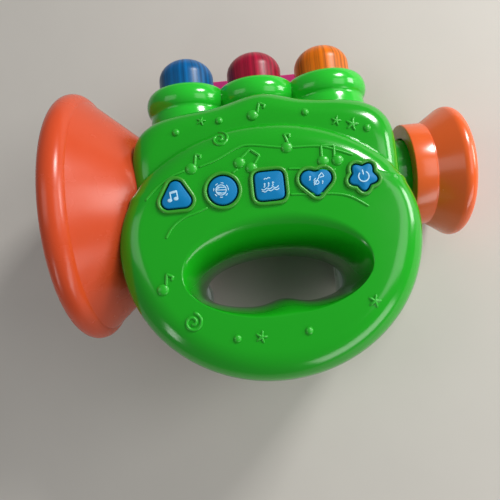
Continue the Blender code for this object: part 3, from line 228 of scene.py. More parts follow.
def turned(profile, steps, x=0.0, y=0.0, along="X", turn=0.0):
    """A profile of (radius, place) pairs carried once round an axis through (x, y, 0)."""
    radius, place = np.array(profile).T[:, :, None]
    angle = np.arange(steps) * 2 * math.pi / steps + turn
    one, two = radius * np.cos(angle), radius * np.sin(angle)
    ahead = np.broadcast_to(place, one.shape)
    order = {"X": (ahead, one, two), "Y": (one, ahead, two), "Z": (one, two, ahead)}[along]
    return np.stack(order, -1) + np.array([x, y, 0.0])


def arc(middle, radius, start, end, count):
    """Places on a circle in the plane of a profile, with its angles in degrees."""
    angle = np.radians(np.linspace(start, end, count))
    return list(zip(middle[0] + radius * np.cos(angle), middle[1] + radius * np.sin(angle)))


def oval(angle, half_width, above, below, middle, square=1.0):
    """Half axes times the cosine and sine of the angle. Below the middle the sine is raised to
    a power, and one under 1 makes that side squarer."""
    c, s = np.cos(angle), np.sin(angle)
    height = np.where(s > 0, above * s, -below * np.abs(s) ** square)
    return np.stack([middle[0] + half_width * c, middle[1] + height], -1)


def grown(outline, distance):
    """An outline moved out along its normals by a distance."""
    along = np.roll(outline, -1, 0) - np.roll(outline, 1, 0)
    along /= np.hypot(along[:, :1], along[:, 1:])
    return outline + distance * np.stack([along[:, 1], -along[:, 0]], -1)


def run_together(one, other, reach):
    """The larger of two values, rounded off where they differ by less than the reach."""
    near = np.maximum(reach - np.abs(one - other), 0.0) / reach
    return np.maximum(one, other) + near * near * reach / 4


def way_in(x, y, centre, half_width, above, below, power):
    """How far a place lies inside an oval: the d for which |x / (a - d)|^p + |y / (b - d)|^p
    is 1, found by halving."""
    x, y = x - centre[0], y - centre[1]
    reach = np.where(y > 0, above, below)
    low, high = np.full(np.shape(x), -40.0), np.minimum(reach, half_width) - 0.5
    for _ in range(24):
        half = (low + high) / 2
        across, along = np.abs(x / (half_width - half)), np.abs(y / (reach - half))
        outside = across ** power + along ** power > 1
        low, high = np.where(outside, low, half), np.where(outside, half, high)
    return (low + high) / 2


def way_in_body(x, y):
    """The same for the disc and for the swollen shoulder, and for both run together. The
    shoulder's top swells by a bell curve of x."""
    disc = way_in(x, y, **DISC)
    rise = np.clip((y - SHOULDER["centre"][1]) / SWELL_RUN, 0.0, 1.0)
    swelling = SWELL_HIGH * np.exp(-((x / SWELL_WIDE) ** 2)) * rise
    shoulder = way_in(x, y - swelling, **SHOULDER)
    both = run_together(disc, shoulder, OUTLINE_FILLET)
    more = both - np.maximum(disc, shoulder)
    return disc + more, shoulder + more, both


def rolled(distance, radius):
    """Height lost on a quarter-round edge at a distance in from it, and steeply outside it."""
    share = np.clip(1 - distance / radius, 0.0, 1.0)
    lost = radius * (1 - np.sqrt(np.maximum(1 - share * share, 0.0)))
    return lost + STEEP * np.maximum(-distance, 0.0)


def body_height(x, y, half, inset=0.0):
    """Height of a half of the body over its parting plane: the disc's face less its rolled
    edge, run together with the shoulder's. The disc's front edge is tight by the shoulder and
    full round the handle."""
    disc, shoulder, _ = way_in_body(x, y)
    edge = DISC_ROLL
    if half is FRONT:
        across, along = x - DISC["centre"][0], y - DISC["centre"][1]
        lift = along / np.where(along > 0, DISC["above"], DISC["below"])
        rise = lift / np.maximum(np.hypot(across / DISC["half_width"], lift), 1e-6)
        low = np.clip((HANDLE_FROM - rise) / HANDLE_RUN, 0.0, 1.0)
        edge = DISC_ROLL + HANDLE_ROLL * low * low * (3 - 2 * low)
    over_disc = half["disc"] - inset - rolled(disc - inset, edge - inset)
    roll = half["shoulder_roll"] - inset
    over_shoulder = half["shoulder"] - inset - rolled(shoulder - inset, roll)
    return run_together(over_disc, over_shoulder, half["fillet"])


def body_side(half, inset, rows):
    """One side of a half of the body as rows of points, from the parting plane up the outer
    wall, over the face and down the wall of the handle hole. Each column runs straight in from
    the outline to the hole's lip, and its rows close up where it turns."""
    angle = np.linspace(0, 2 * math.pi, COLUMNS, endpoint=False)
    throat = oval(angle, **THROAT, square=THROAT_SQUARE)
    bump = BUMP_HIGH * np.exp(-(((throat[:, 0] - BUMP_X) / BUMP_WIDE) ** 2))
    throat[:, 1] += np.where(throat[:, 1] < THROAT["middle"][1], bump, 0.0)
    throat = grown(throat, inset)
    if half is FRONT:
        lip = grown(oval(angle, **LIP), inset)
    else:
        lip = grown(throat, THROAT_LIP)
    ray = lip - HOLE_CENTRE
    ray /= np.hypot(ray[:, :1], ray[:, 1:])
    near, far = np.full(COLUMNS, 20.0), np.full(COLUMNS, 90.0)
    for _ in range(30):
        reach = (near + far) / 2
        place = HOLE_CENTRE + ray * reach[:, None]
        inside = way_in_body(*place.T)[2] > inset
        near, far = np.where(inside, reach, near), np.where(inside, far, reach)
    edge = HOLE_CENTRE + ray * near[:, None]
    share = (np.linspace(0, 1, FACE_ROWS) ** 1.6)[:, None, None]
    over = edge + (lip - edge) * share
    height = body_height(over[..., 0], over[..., 1], half, inset)
    face = half["disc"] - inset
    height[-1] = face
    up = np.linspace(0, 1, WALL_ROWS + 1)[:-1, None]
    wall = up * (height[0] - half["base"]) + half["base"]
    down = np.linspace(math.pi / 2, 0, HOLE_ROWS + 1)[1:, None]
    hole = throat + (lip - throat) * (1 - np.cos(down))[..., None]
    sunk = np.broadcast_to(half["base"] + (face - half["base"]) * np.sin(down), hole.shape[:2])
    path = np.concatenate([
        np.dstack([np.broadcast_to(edge, (WALL_ROWS, COLUMNS, 2)), wall]),
        np.dstack([over, height]),
        np.dstack([hole, sunk]),
    ])
    step = np.diff(path, axis=0)
    length = np.linalg.norm(step, axis=2)
    heading = step / np.maximum(length, 1e-9)[..., None]
    bend = np.linalg.norm(np.diff(heading, axis=0), axis=2)
    effort = length + TURN_COST * np.concatenate([bend[:1] * 0, bend])
    travel = np.concatenate([np.zeros((1, COLUMNS)), np.cumsum(effort, axis=0)])
    stops = np.linspace(0, 1, rows)
    out = np.empty((rows, COLUMNS, 3))
    for column in range(COLUMNS):
        along = travel[:, column] / travel[-1, column]
        for axis in range(3):
            out[:, column, axis] = np.interp(stops, along, path[:, column, axis])
    if half is REAR:
        out[..., 2] *= -1
    return out


def body_half(name, half, rows, look):
    """A half of the body as one closed wall: its outside and, a wall's thickness in, its
    inside."""
    shell = np.concatenate([body_side(half, 0.0, rows), body_side(half, WALL, rows // 3)[::-1]])
    return skin(name, [shell], look, ring=True)


def stacked(rings):
    """Flat outlines, each at its own height, as rows of points."""
    return np.stack([np.column_stack([ring, np.full(len(ring), z)]) for ring, z in rings])


def bar(outline, low, high):
    """A straight bar of an outline between two heights, closed to its middle at both ends."""
    middle = np.broadcast_to(outline.mean(0), outline.shape)
    return stacked([(middle, low), (outline, low), (outline, high), (middle, high)])


def round_bar(x, y, radius, low, high, steps=48):
    """The same for a circle about (x, y)."""
    return turned([(0, low), (radius, low), (radius, high), (0, high)], steps, x=x, y=y, along="Z")


HORN_Y, HORN_NECK, HORN_FLANGE = 1.0, 20.0, 21.2
HORN_NECK_X, HORN_FLANGE_LOW, HORN_FLANGE_HIGH = -38.0, -35.0, -33.0
HORN_ROOM_END = (50.09, -72.4)
HORN_ROOM = turned([
    (0.0, HORN_FLANGE_HIGH + GAP), (HORN_FLANGE + GAP, HORN_FLANGE_HIGH + GAP),
    (HORN_FLANGE + GAP, HORN_FLANGE_LOW - GAP), (HORN_NECK + GAP, HORN_FLANGE_LOW - GAP),
    (HORN_NECK + GAP, HORN_NECK_X), HORN_ROOM_END, (0.0, HORN_ROOM_END[1]),
], 160, y=HORN_Y)
MOUTH_Y, PIPE, PIPE_FLANGE = 6.1, 16.0, 17.8
PIPE_FLANGE_LOW, PIPE_FLANGE_HIGH, PIPE_ROOM_END = 45.0, 47.2, 61.0
PIPE_ROOM = turned([
    (0.0, PIPE_ROOM_END), (PIPE + GAP, PIPE_ROOM_END), (PIPE + GAP, PIPE_FLANGE_HIGH + GAP),
    (PIPE_FLANGE + GAP, PIPE_FLANGE_HIGH + GAP), (PIPE_FLANGE + GAP, PIPE_FLANGE_LOW - GAP),
    (0.0, PIPE_FLANGE_LOW - GAP),
], 96, y=MOUTH_Y)
VALVES = ((-31.0, "blue"), (0.0, "crimson"), (31.0, "orange"))
COLLAR_NECK, COLLAR_FOOT, COLLAR_TOP = 17.4, 25.0, 53.0
NECK_ROOM_PROFILE = [(0.0, COLLAR_TOP), (COLLAR_NECK + GAP, COLLAR_TOP),
                     (COLLAR_NECK + GAP, COLLAR_FOOT), (0.0, COLLAR_FOOT)]
NECK_ROOM = [turned(NECK_ROOM_PROFILE, 96, x=x, along="Y", turn=0.01 + 0.003 * x)
             for x, _ in VALVES]


def rounded_box(x, y, corners, steps=10):
    """Outline of a box between two x and two y, with a radius for each corner: upper right,
    upper left, lower left, lower right."""
    turns = ((1, 1), (0, 1), (0, 0), (1, 0))
    points = []
    for quarter, ((right, top), radius) in enumerate(zip(turns, corners)):
        middle = (x[1] - radius if right else x[0] + radius,
                  y[1] - radius if top else y[0] + radius)
        points += arc(middle, radius, 90 * quarter, 90 * quarter + 90, steps)
    return np.array(points)


def box_outline(inset, tighter):
    """The battery box's outline, moved in, with less radius at its corners."""
    return rounded_box((31.0 + inset, 54.9 - inset), (-46.0 + inset, 12.7 - inset),
                       [radius - tighter for radius in (3.0, 3.0, 3.0, 13.0)])


BOX_OUTLINE, BOX_ROOM = box_outline(0.0, 0.0), (-45.0, -18.0)
POD, POD_ROUND, POD_TOP = (-42.0, -39.5), 12.0, -14.0
BEHIND = -40.0
SLEEVE, SLEEVE_TOP = 4.6, -0.6
SCREW_SEAT, SCREW_LENGTH, HEAD_ROOM, SHANK_ROOM = -10.0, 19.0, 3.0, 1.7
green_plastic = plastic("green plastic", GREEN)
rear_shell = body_half("rear_shell_skin", REAR, 84, green_plastic)
sleeves = []
for x, y in SCREW_PLACES:
    sleeve = round_bar(x, y, SLEEVE, -1.0, SLEEVE_TOP)
    depth = body_height(sleeve[0:3, :, 0], sleeve[0:3, :, 1], REAR, WALL / 2).min()
    sleeves.append(round_bar(x, y, SLEEVE, -depth, SLEEVE_TOP))
joined(rear_shell, skin("sleeves", sleeves, green_plastic), "UNION")
room = [HORN_ROOM, PIPE_ROOM] + NECK_ROOM
room += [round_bar(x, y, HEAD_ROOM, BEHIND, SCREW_SEAT + GAP) for x, y in SCREW_PLACES]
room += [round_bar(x, y, SHANK_ROOM, SCREW_SEAT, 6.0) for x, y in SCREW_PLACES]
room += [round_bar(*POD, POD_ROUND + GAP, BEHIND, POD_TOP + GAP, 96)]
room += [bar(grown(BOX_OUTLINE, GAP), *BOX_ROOM)]
for tool in room:
    joined(rear_shell, skin("room", [tool], green_plastic))
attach(rear_shell, "body")
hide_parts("rear_shell")

# Battery box, its two cells and their contacts: a white moulded tray let into the rear shell at
# the right of the handle hole. Its side shows through the hole as a pale sliver.

WHITE = (222, 226, 228)
BOX_TOP, BOX_WALL, BOX_EDGE = -18.361, 1.0, 0.8
DOOR_FACE, DOOR_ROOM = -32.461, 2.3
white_plastic = plastic("white plastic", WHITE, gloss=0.28, smear=0.12, cloud=0.05)


def slab(outline, low, high, edge, steps=5):
    """A plate of an outline between two heights, its edges turned on a quarter circle."""
    turn = [(edge * (1 - math.sin(angle)), edge * (1 - math.cos(angle)))
            for angle in np.linspace(0, math.pi / 2, steps)]
    rows = [(np.broadcast_to(outline.mean(0), outline.shape), low)]
    rows += [(grown(outline, -inward), low + rise) for inward, rise in turn]
    rows += [(grown(outline, -inward), high - rise) for inward, rise in turn[::-1]]
    return stacked(rows + [(rows[0][0], high)])


box = slab(BOX_OUTLINE, DOOR_FACE + DOOR_ROOM, BOX_TOP, BOX_EDGE)
hollow = bar(box_outline(BOX_WALL, BOX_WALL), DOOR_FACE - 3.0, BOX_TOP - BOX_WALL)
battery_box = skin("battery_box_skin", [box], white_plastic)
joined(battery_box, skin("hollow", [hollow], white_plastic))
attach(battery_box, "body")
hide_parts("battery_box")


def finish_of(node, look):
    """Gives a CAD node that keeps its own shape a finish, in each of its places for one."""
    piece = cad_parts[node]
    if not piece.material_slots:
        piece.data.materials.append(look)
    for place in piece.material_slots:
        place.material = look


def metal(name, colour, rough, grain):
    """Plated or rolled metal: fine streaks of a stretched noise in the roughness."""
    look = bpy.data.materials.new(name)
    look.use_nodes = True
    nodes, links = look.node_tree.nodes, look.node_tree.links
    shader = nodes["Principled BSDF"]
    shader.inputs["Base Color"].default_value = paint(*colour)
    shader.inputs["Metallic"].default_value = 1.0
    where, stretch = nodes.new("ShaderNodeTexCoord"), nodes.new("ShaderNodeMapping")
    stretch.inputs["Scale"].default_value = grain
    streaks, spread = nodes.new("ShaderNodeTexNoise"), nodes.new("ShaderNodeMapRange")
    streaks.inputs["Detail"].default_value = 4.0
    spread.inputs["To Min"].default_value = rough * 0.7
    spread.inputs["To Max"].default_value = rough * 1.4
    links.new(where.outputs["Object"], stretch.inputs["Vector"])
    links.new(stretch.outputs["Vector"], streaks.inputs["Vector"])
    links.new(streaks.outputs["Fac"], spread.inputs["Value"])
    links.new(spread.outputs["Result"], shader.inputs["Roughness"])
    return look


steel = metal("plated steel", (196, 197, 200), 0.30, (900.0, 900.0, 160.0))
jacket = plastic("cell jacket", (120, 122, 130), gloss=0.35, cloud=0.08)
for name in ("contact_link", "contact_plus", "contact_minus"):
    finish_of(name, steel)
for name in ("battery_cell_1", "battery_cell_2"):
    finish_of(name, jacket)

# Loudspeaker in its pod: a small paper cone unit in a white cup, which stands in a round hole
# of the rear shell and shows at the left of the handle hole. Its floor has five sound slots.

POD_FLOOR, POD_WALL, POD_EDGE, POD_RIM = -32.0, 1.4, 1.2, 0.3
SLOT_CIRCLE, SLOT_APART, SLOT_HALF, SLOT_CORNER = 8.6, 3.0, 0.7, 0.69
black_paper = plastic("black paper and frame", (34, 33, 33), gloss=0.62, cloud=0.2)
pod_profile = [(0, POD_FLOOR)]
pod_profile += arc((POD_ROUND - POD_EDGE, POD_FLOOR + POD_EDGE), POD_EDGE, -90, 0, 7)
pod_profile += [(POD_ROUND, POD_TOP - POD_RIM)]
pod_profile += arc((POD_ROUND - POD_RIM, POD_TOP - POD_RIM), POD_RIM, 0, 90, 4)
pod_profile += [(POD_ROUND - POD_WALL, POD_TOP), (POD_ROUND - POD_WALL, POD_FLOOR + POD_WALL),
                (0, POD_FLOOR + POD_WALL)]
pod = turned(pod_profile, 96, *POD, along="Z")
speaker_cover = skin("speaker_cover_skin", [pod], white_plastic)
slots = []
for row in range(-2, 3):
    y = POD[1] + SLOT_APART * row
    half = math.sqrt(SLOT_CIRCLE**2 - (y - POD[1]) ** 2)
    slot = rounded_box((POD[0] - half, POD[0] + half), (y - SLOT_HALF, y + SLOT_HALF),
                       (SLOT_CORNER,) * 4, 6)
    slots.append(bar(slot, -36.0, -28.0))
joined(speaker_cover, skin("slots", slots, white_plastic))
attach(speaker_cover, "body")
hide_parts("speaker_cover")
finish_of("speaker", black_paper)

# Main board and its rubber mat: a green printed board under the buttons, with five domed pads
# of grey silicone that push each button back up.

board_green = plastic("printed board", (52, 112, 64), gloss=0.45, cloud=0.3)
rubber = plastic("silicone rubber", (158, 158, 160), gloss=0.65, cloud=0.08)
finish_of("main_board", board_green)
finish_of("button_mat", rubber)

# Front shell: the half with the buttons, moulded in the same green plastic. The broad disc with
# the handle hole runs into a lower shoulder behind it, and five shaped windows with raised rims
# let the buttons through.

BUTTON_SIZE = 10.8
WINDOW_GAP, RIM_FOOT, RIM_LEVEL, RIM_HALF = 0.5, 38.6, 40.4, 0.7
BUTTON_CENTRES = [np.array([x, -1.0]) for x in (-34.8, -17.4, 0.0, 17.4, 34.8)]
BUTTON_SHAPES = ("triangle", "circle", "square", "heart", "star")
ROUND = np.linspace(0, 2 * math.pi, 96, endpoint=False)


def button_shape(shape):
    """The outline of a button one unit across, as a function of the angle round it."""
    c, s = np.cos(ROUND), np.sin(ROUND)
    if shape == "circle":
        return np.stack([c, s], -1) / 2
    if shape == "square":
        return np.stack([np.sign(c) * np.abs(c) ** 0.36, np.sign(s) * np.abs(s) ** 0.36], -1) / 2
    if shape == "heart":
        right = arc((0.245, 0.10), 0.285, -45, 116, 40)
        left = arc((-0.245, 0.10), 0.285, 64, 225, 40)
        notch = arc((0.0, 0.60), 0.272, -64, -116, 16)[1:-1]
        tip = arc((0.0, -0.36), 0.13, 225, 315, 12)
        return np.array(right + notch + left + tip)
    if shape == "star":
        turn = ROUND - math.pi / 2
        radius = 0.43 * (1 + 0.155 * np.cos(5 * ROUND))
        return np.stack([radius * np.cos(turn), radius * np.sin(turn)], -1)
    corners = []
    for up in (90.0, 210.0, 330.0):
        middle = (0.31 * math.cos(math.radians(up)), 0.31 * math.sin(math.radians(up)) - 0.06)
        corners += arc(middle, 0.24, up - 60.0, up + 60.0, 32)
    return np.array(corners)


def even(outline):
    """An outline walked round in equal steps, as many as ROUND has."""
    ring = np.concatenate([outline, outline[:1]])
    travel = np.concatenate([[0.0], np.cumsum(np.hypot(*np.diff(ring, axis=0).T))])
    stops = np.linspace(0, travel[-1], len(ROUND), endpoint=False)
    return np.stack([np.interp(stops, travel, ring[:, axis]) for axis in (0, 1)], -1)


BUTTON_OUTLINES = [middle + even(button_shape(shape) * BUTTON_SIZE)
                   for middle, shape in zip(BUTTON_CENTRES, BUTTON_SHAPES)]
front_shell = body_half("front_shell_skin", FRONT, 150, green_plastic)
for tool in [HORN_ROOM, PIPE_ROOM] + NECK_ROOM:
    joined(front_shell, skin("room", [tool], green_plastic))
windows = [bar(grown(outline, WINDOW_GAP), 35.0, 45.0) for outline in BUTTON_OUTLINES]
joined(front_shell, skin("windows", windows, green_plastic))
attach(front_shell, "body")
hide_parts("front_shell")

# The rims are given a more olive green than the face.
rim_green = plastic("olive green rim", (50, 146, 34), gloss=0.30, smear=0.2, cloud=0.15)
rim_profile = arc((WINDOW_GAP + RIM_HALF, RIM_LEVEL), RIM_HALF, 180, 0, 13)
rim_profile = [(WINDOW_GAP, RIM_FOOT)] + rim_profile + [(WINDOW_GAP + 2 * RIM_HALF, RIM_FOOT)]
rims = [stacked([(grown(outline, out), z) for out, z in rim_profile])
        for outline in BUTTON_OUTLINES]
button_rims = skin("button_rims", rims, rim_green, ring=True, crease=60)
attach(button_rims, "body")

# Raised ornaments of the front shell: music notes, staff lines, dots, stars and spirals, which
# the mould leaves proud of the green plastic by half a millimetre to a millimetre.


def face_level(x, y):
    """Height of the front shell's face over each place."""
    return body_height(x, y, FRONT)


def flowing(points, count=12):
    """A smooth line through points: on each stretch, the cubic that keeps the slopes of the
    points beside it."""
    points = np.array(points, float)
    padded = np.concatenate([2 * points[:1] - points[1:2], points, 2 * points[-1:] - points[-2:-1]])
    before, start, end, after = padded[:-3], padded[1:-2], padded[2:-1], padded[3:]
    t = np.linspace(0, 1, count, endpoint=False)[:, None, None]
    line = 0.5 * (2 * start + (end - before) * t + (2 * before - 5 * start + 4 * end - after) * t**2
                  + (3 * start - before - 3 * end + after) * t**3)
    return np.concatenate([line.swapaxes(0, 1).reshape(-1, 2), points[-1:]])


def bead(path, width, height, level, around=10, step=0.5):
    """A raised line along a path: at each place a flat ellipse across the path, drawn in to a
    point over half its width at both ends."""
    path = np.array(path, float)
    travel = np.concatenate([[0.0], np.cumsum(np.hypot(*np.diff(path, axis=0).T))])
    length, half = travel[-1], width / 2
    ends = half * (1 - np.cos(np.linspace(0, math.pi / 2, 5)))
    body = np.linspace(half, length - half, max(2, int(length / step)))
    stops = np.unique(np.concatenate([ends, body, length - ends]))
    x, y = (np.interp(stops, travel, path[:, axis]) for axis in (0, 1))
    heading = np.stack([np.gradient(x), np.gradient(y)], -1)
    heading /= np.maximum(np.hypot(heading[:, :1], heading[:, 1:]), 1e-9)
    near = np.clip(np.minimum(stops, length - stops) / half, 0.0, 1.0)
    taper = np.sqrt(np.maximum(1 - (1 - near) ** 2, 0.0))[:, None]
    angle = np.linspace(0, 2 * math.pi, around, endpoint=False)
    out = half * taper * np.cos(angle)
    up = level(x, y)[:, None] + height * taper * np.sin(angle)
    return np.stack([x[:, None] - heading[:, 1:] * out, y[:, None] + heading[:, :1] * out, up], -1)


def mound(middle, outline, height, level, rows=7):
    """A low dome on an outline: it draws in with the cosine and rises with the sine."""
    angle = np.linspace(0, math.pi / 2, rows)[:, None]
    shrink = np.cos(angle)
    x = middle[0] + outline[:, 0] * shrink
    y = middle[1] + outline[:, 1] * shrink
    up = level(x, y) + height * np.sin(angle)
    foot = np.stack([x[:1], y[:1], up[:1] - 0.6], -1)
    centre = np.broadcast_to(foot.mean(1, keepdims=True), foot.shape)
    return np.concatenate([centre, foot, np.stack([x, y, up], -1)])


def disc_round(radius, flat=1.0, count=28):
    """A circle about the origin, or an ellipse where flat is under 1."""
    angle = np.linspace(0, 2 * math.pi, count, endpoint=False)
    return radius * np.stack([np.cos(angle), flat * np.sin(angle)], -1)


def star_round(radius):
    """A five-pointed outline: the radius swings with five times the angle, sharply at the
    tips."""
    angle = np.linspace(0, 2 * math.pi, 60, endpoint=False) + 0.3
    reach = radius * (0.42 + 0.58 * (0.5 + 0.5 * np.cos(5 * angle)) ** 1.6)
    return reach[:, None] * np.stack([np.cos(angle), np.sin(angle)], -1)


def spiral(middle, radius, turns, start):
    """A line whose radius grows with its angle."""
    angle = np.linspace(0.15, 1, 40) * turns * 2 * math.pi
    reach = radius * angle / angle[-1]
    across, along = reach * np.cos(angle + start), reach * np.sin(angle + start)
    return np.stack([middle[0] + across, middle[1] + along], -1)


LINE, LINE_HIGH = 0.9, 0.45
STROKE, STROKE_HIGH = 1.15, 0.6
HEAD, HEAD_FLAT, HEAD_HIGH = 2.25, 0.92, 1.0
DOT, DOT_HIGH, STAR_HIGH = 1.45, 0.95, 0.7
SPIRAL, SPIRAL_TURNS = 3.6, 1.9
NOTE_HEADS = (
    (-3.4, 28.6), (-28.3, 8.4), (7.9, 12.9), (-10.3, 8.9), (-6.0, 6.5), (20.8, 6.4), (26.2, 6.2),
    (-42.6, -35.4),
)
NOTE_STEMS = (
    ((-1.6, 29.2), (-0.4, 33.4), (1.7, 32.2), (0.9, 30.9)),
    ((-27.0, 9.2), (-26.2, 14.0), (-24.3, 13.0), (-25.0, 11.8)),
    ((8.7, 13.8), (7.4, 18.2), (9.6, 17.9), (9.0, 16.6)),
    ((-9.9, 10.2), (-5.9, 13.6), (-2.6, 10.9), (-4.9, 7.6)),
    ((20.4, 7.6), (20.6, 12.3), (25.4, 12.0), (25.0, 7.4)),
    ((-41.3, -34.4), (-40.8, -29.8), (-38.6, -31.0), (-39.2, -32.4)),
)
STAFF_LINES = (
    ((-46.3, -1.8), (-42.0, 2.2), (-36.1, 6.1), (-30.8, 8.0)),
    ((-25.4, 8.8), (-18.8, 10.8), (-10.6, 14.6), (-5.5, 15.2), (4.7, 13.4), (10.6, 12.8),
     (19.9, 12.2), (26.4, 10.0), (32.1, 7.5)),
    ((-13.4, 5.3), (-11.0, 6.6)),
    ((7.5, 4.8), (11.2, 4.4), (25.2, 2.6)),
    ((-39.9, -16.7), (-37.0, -12.7), (-32.7, -9.7), (-28.1, -8.3), (-23.5, -6.7)),
    ((7.3, -4.9), (11.0, -5.2), (23.8, -6.3), (29.9, -8.2), (35.7, -12.2)),
)
DOTS = ((-33.6, 24.9), (-16.5, 27.9), (17.0, 27.9), (40.1, 19.1), (-17.2, -55.6), (8.9, -55.3))
STARS = (((-23.5, 28.5), 2.0), ((28.5, 23.1), 2.2), ((34.5, 21.2), 2.8), ((-8.5, -55.8), 2.4),
         ((33.7, -47.0), 2.6))
SPIRALS = (((-16.9, 19.2), 2.4), ((-32.8, -48.2), 2.0))
raised = [mound(place, disc_round(HEAD, HEAD_FLAT), HEAD_HIGH, face_level)
          for place in NOTE_HEADS]
raised += [bead(stem, STROKE, STROKE_HIGH, face_level) for stem in NOTE_STEMS]
raised += [bead(flowing(line), LINE, LINE_HIGH, face_level) for line in STAFF_LINES]
raised += [mound(place, disc_round(DOT), DOT_HIGH, face_level) for place in DOTS]
raised += [mound(place, star_round(radius), STAR_HIGH, face_level) for place, radius in STARS]
raised += [bead(spiral(place, SPIRAL, SPIRAL_TURNS, start), STROKE, STROKE_HIGH, face_level)
           for place, start in SPIRALS]
# Painted light: the ornaments are a lighter green than the face they are moulded with, for the
# light their raised edges catch.
lit_raised_green = plastic("raised green", (34, 168, 34), gloss=0.30)
ornaments = skin("raised_notes", raised, lit_raised_green, crease=50)
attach(ornaments, "body")

# Push buttons: five shaped caps of satin blue plastic, each on a flange that keeps it in and a
# round stem that reaches the mat. A white pictogram is printed on each.

button_blue = plastic("satin blue plastic", (0, 116, 172), gloss=0.50, cloud=0.10, shine=0.2)
print_white = plastic("white print", (176, 214, 236), gloss=0.5, cloud=0.1, shine=0.2)
TOP, CROWN, EDGE = 40.9, 0.5, 0.7
STEM, STEM_LOW = 3.4, 33.7
FLANGE, FLANGE_LOW, FLANGE_HIGH = 1.1, 36.3, 37.7
PRINT_HIGH = 0.1


def button_level(index):
    """Height of a button's domed top: its crown less a square of the way out to its edge."""
    middle, outline = BUTTON_CENTRES[index], BUTTON_OUTLINES[index]
    away = outline - middle
    bearing = np.arctan2(away[:, 1], away[:, 0])
    order = np.argsort(bearing)
    reach = np.hypot(*away[order].T)

    def level(x, y):
        x, y = x - middle[0], y - middle[1]
        edge = np.interp(np.arctan2(y, x), bearing[order], reach, period=2 * math.pi)
        return TOP + CROWN * (1 - np.clip(np.hypot(x, y) / edge, 0, 1) ** 2)

    return level


def note(x, y, size):
    """A head, a stem and a flag."""
    return [(x - 0.35 * size, y, 0.55 * size)], [
        [(x + 0.1 * size, y), (x + 0.1 * size, y + 2.2 * size), (x + 0.9 * size, y + 1.5 * size)]
    ]


def ring(x, y, radius, start=0.0, end=360.0, flat=1.0):
    """A circle about (x, y), or the part of it between two angles in degrees."""
    angle = np.radians(np.linspace(start, end, 40))
    return np.stack([x + radius * np.cos(angle), y + flat * radius * np.sin(angle)], -1)


BOLD, FINE = 0.48, 0.36
TILT_ANGLE = 0.1
TILT = np.array([[math.cos(TILT_ANGLE), math.sin(TILT_ANGLE)],
                 [-math.sin(TILT_ANGLE), math.cos(TILT_ANGLE)]])
beam = [[(-2.0, -1.6), (-2.0, 1.2), (0.5, 1.4), (0.5, -1.4)], [(-2.0, 0.8), (0.5, 1.0)]]
globe = [ring(-0.6, 0.1, 1.9), ring(-0.6, 0.1, 1.9, 100, 260, 0.5), [(-2.4, 0.4), (1.2, -0.2)],
         [(-1.8, 1.4), (0.9, 0.8)], [(-1.9, -1.0), (0.7, -1.2)]]
rays = [ring(-0.6, 0.1, 2.7, start, start + 24) for start in range(10, 350, 48)]
wave = np.linspace(-3.3, 3.3, 40)
waves = [np.stack([wave, y + 0.25 * np.sin(2.8 * wave + y)], -1) for y in (-1.1, -1.9)]
birds = [ring(-1.1, 2.2, 0.6, 20, 160), ring(0.1, 2.3, 0.6, 20, 160)]
sea_notes = [note(x, -0.3, 0.62) for x in (-1.9, -0.4, 1.2)]
left_note, right_note = note(-2.3, 0.7, 0.62), note(2.0, -1.5, 0.45)
strings = [[(-1.3, -1.6), (1.2, 1.2)], [(0.9, 1.3), (2.4, 2.6)], [(1.3, 0.9), (3.0, 1.1)],
           [(2.4, 2.6), (3.0, 1.1)], ring(-0.2, -0.7, 0.9, 0, 360, 0.75),
           [(-1.1, 0.1), (-0.2, 1.0)]]
power = [ring(0, -0.2, 1.9, 125, 415), [(0, 0.4), (0, 2.4)]]
PRINTS = {
    "triangle": ([(-2.5, -1.7, 1.1), (-0.1, -1.5, 1.1)], beam, BOLD),
    "circle": ([], globe + rays, FINE),
    "square": ([dot for dots, _ in sea_notes for dot in dots],
               [flag for _, flags in sea_notes for flag in flags] + waves + birds, FINE),
    "heart": (left_note[0] + right_note[0], left_note[1] + right_note[1] + strings, FINE),
    "star": ([], power, BOLD),
}
for index, shape in enumerate(BUTTON_SHAPES):
    middle, outline = BUTTON_CENTRES[index], BUTTON_OUTLINES[index]
    bearing = np.arctan2(*(outline - middle).T[::-1])
    stem = middle + STEM * np.stack([np.cos(bearing), np.sin(bearing)], -1)
    flange = grown(outline, FLANGE)
    rings = [(np.broadcast_to(middle, stem.shape), STEM_LOW), (stem, STEM_LOW),
             (stem, FLANGE_LOW), (flange, FLANGE_LOW), (flange, FLANGE_HIGH),
             (outline, FLANGE_HIGH)]
    for angle in np.linspace(0, math.pi / 2, 8):
        inward = EDGE * (1 - math.cos(angle))
        rings.append((grown(outline, -inward), TOP - EDGE + EDGE * math.sin(angle)))
    grid = stacked(rings)
    top = grid[-1, :, :2]
    shares = np.linspace(1, 0, 14)[1:, None, None]
    dome = middle + (top - middle) * shares
    lift = TOP + CROWN * (1 - shares[:, 0] ** 2) * np.ones(len(top))
    grid = np.concatenate([grid, np.dstack([dome, lift])])
    button = skin("button_" + shape + "_skin", [grid], button_blue)
    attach(button, "press_" + shape)
    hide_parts("button_" + shape)
    level = button_level(index)
    dots, lines, width = PRINTS[shape]
    drawn = [mound(middle + np.array([x, y]) @ TILT, disc_round(0.8 * radius, 0.75, 20),
                   PRINT_HIGH, level, 4) for x, y, radius in dots]
    drawn += [bead(middle + np.array(line) @ TILT, width, PRINT_HIGH, level, 8, 0.15)
              for line in lines]
    picture = skin("print_" + shape, drawn, print_white)
    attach(picture, "press_" + shape)

# Lead pipe and mouthpiece: a green stub pipe trapped between the shells by its flange, and an
# orange cup with a thick rolled lip on a wide short collar, closed on the end of the pipe.

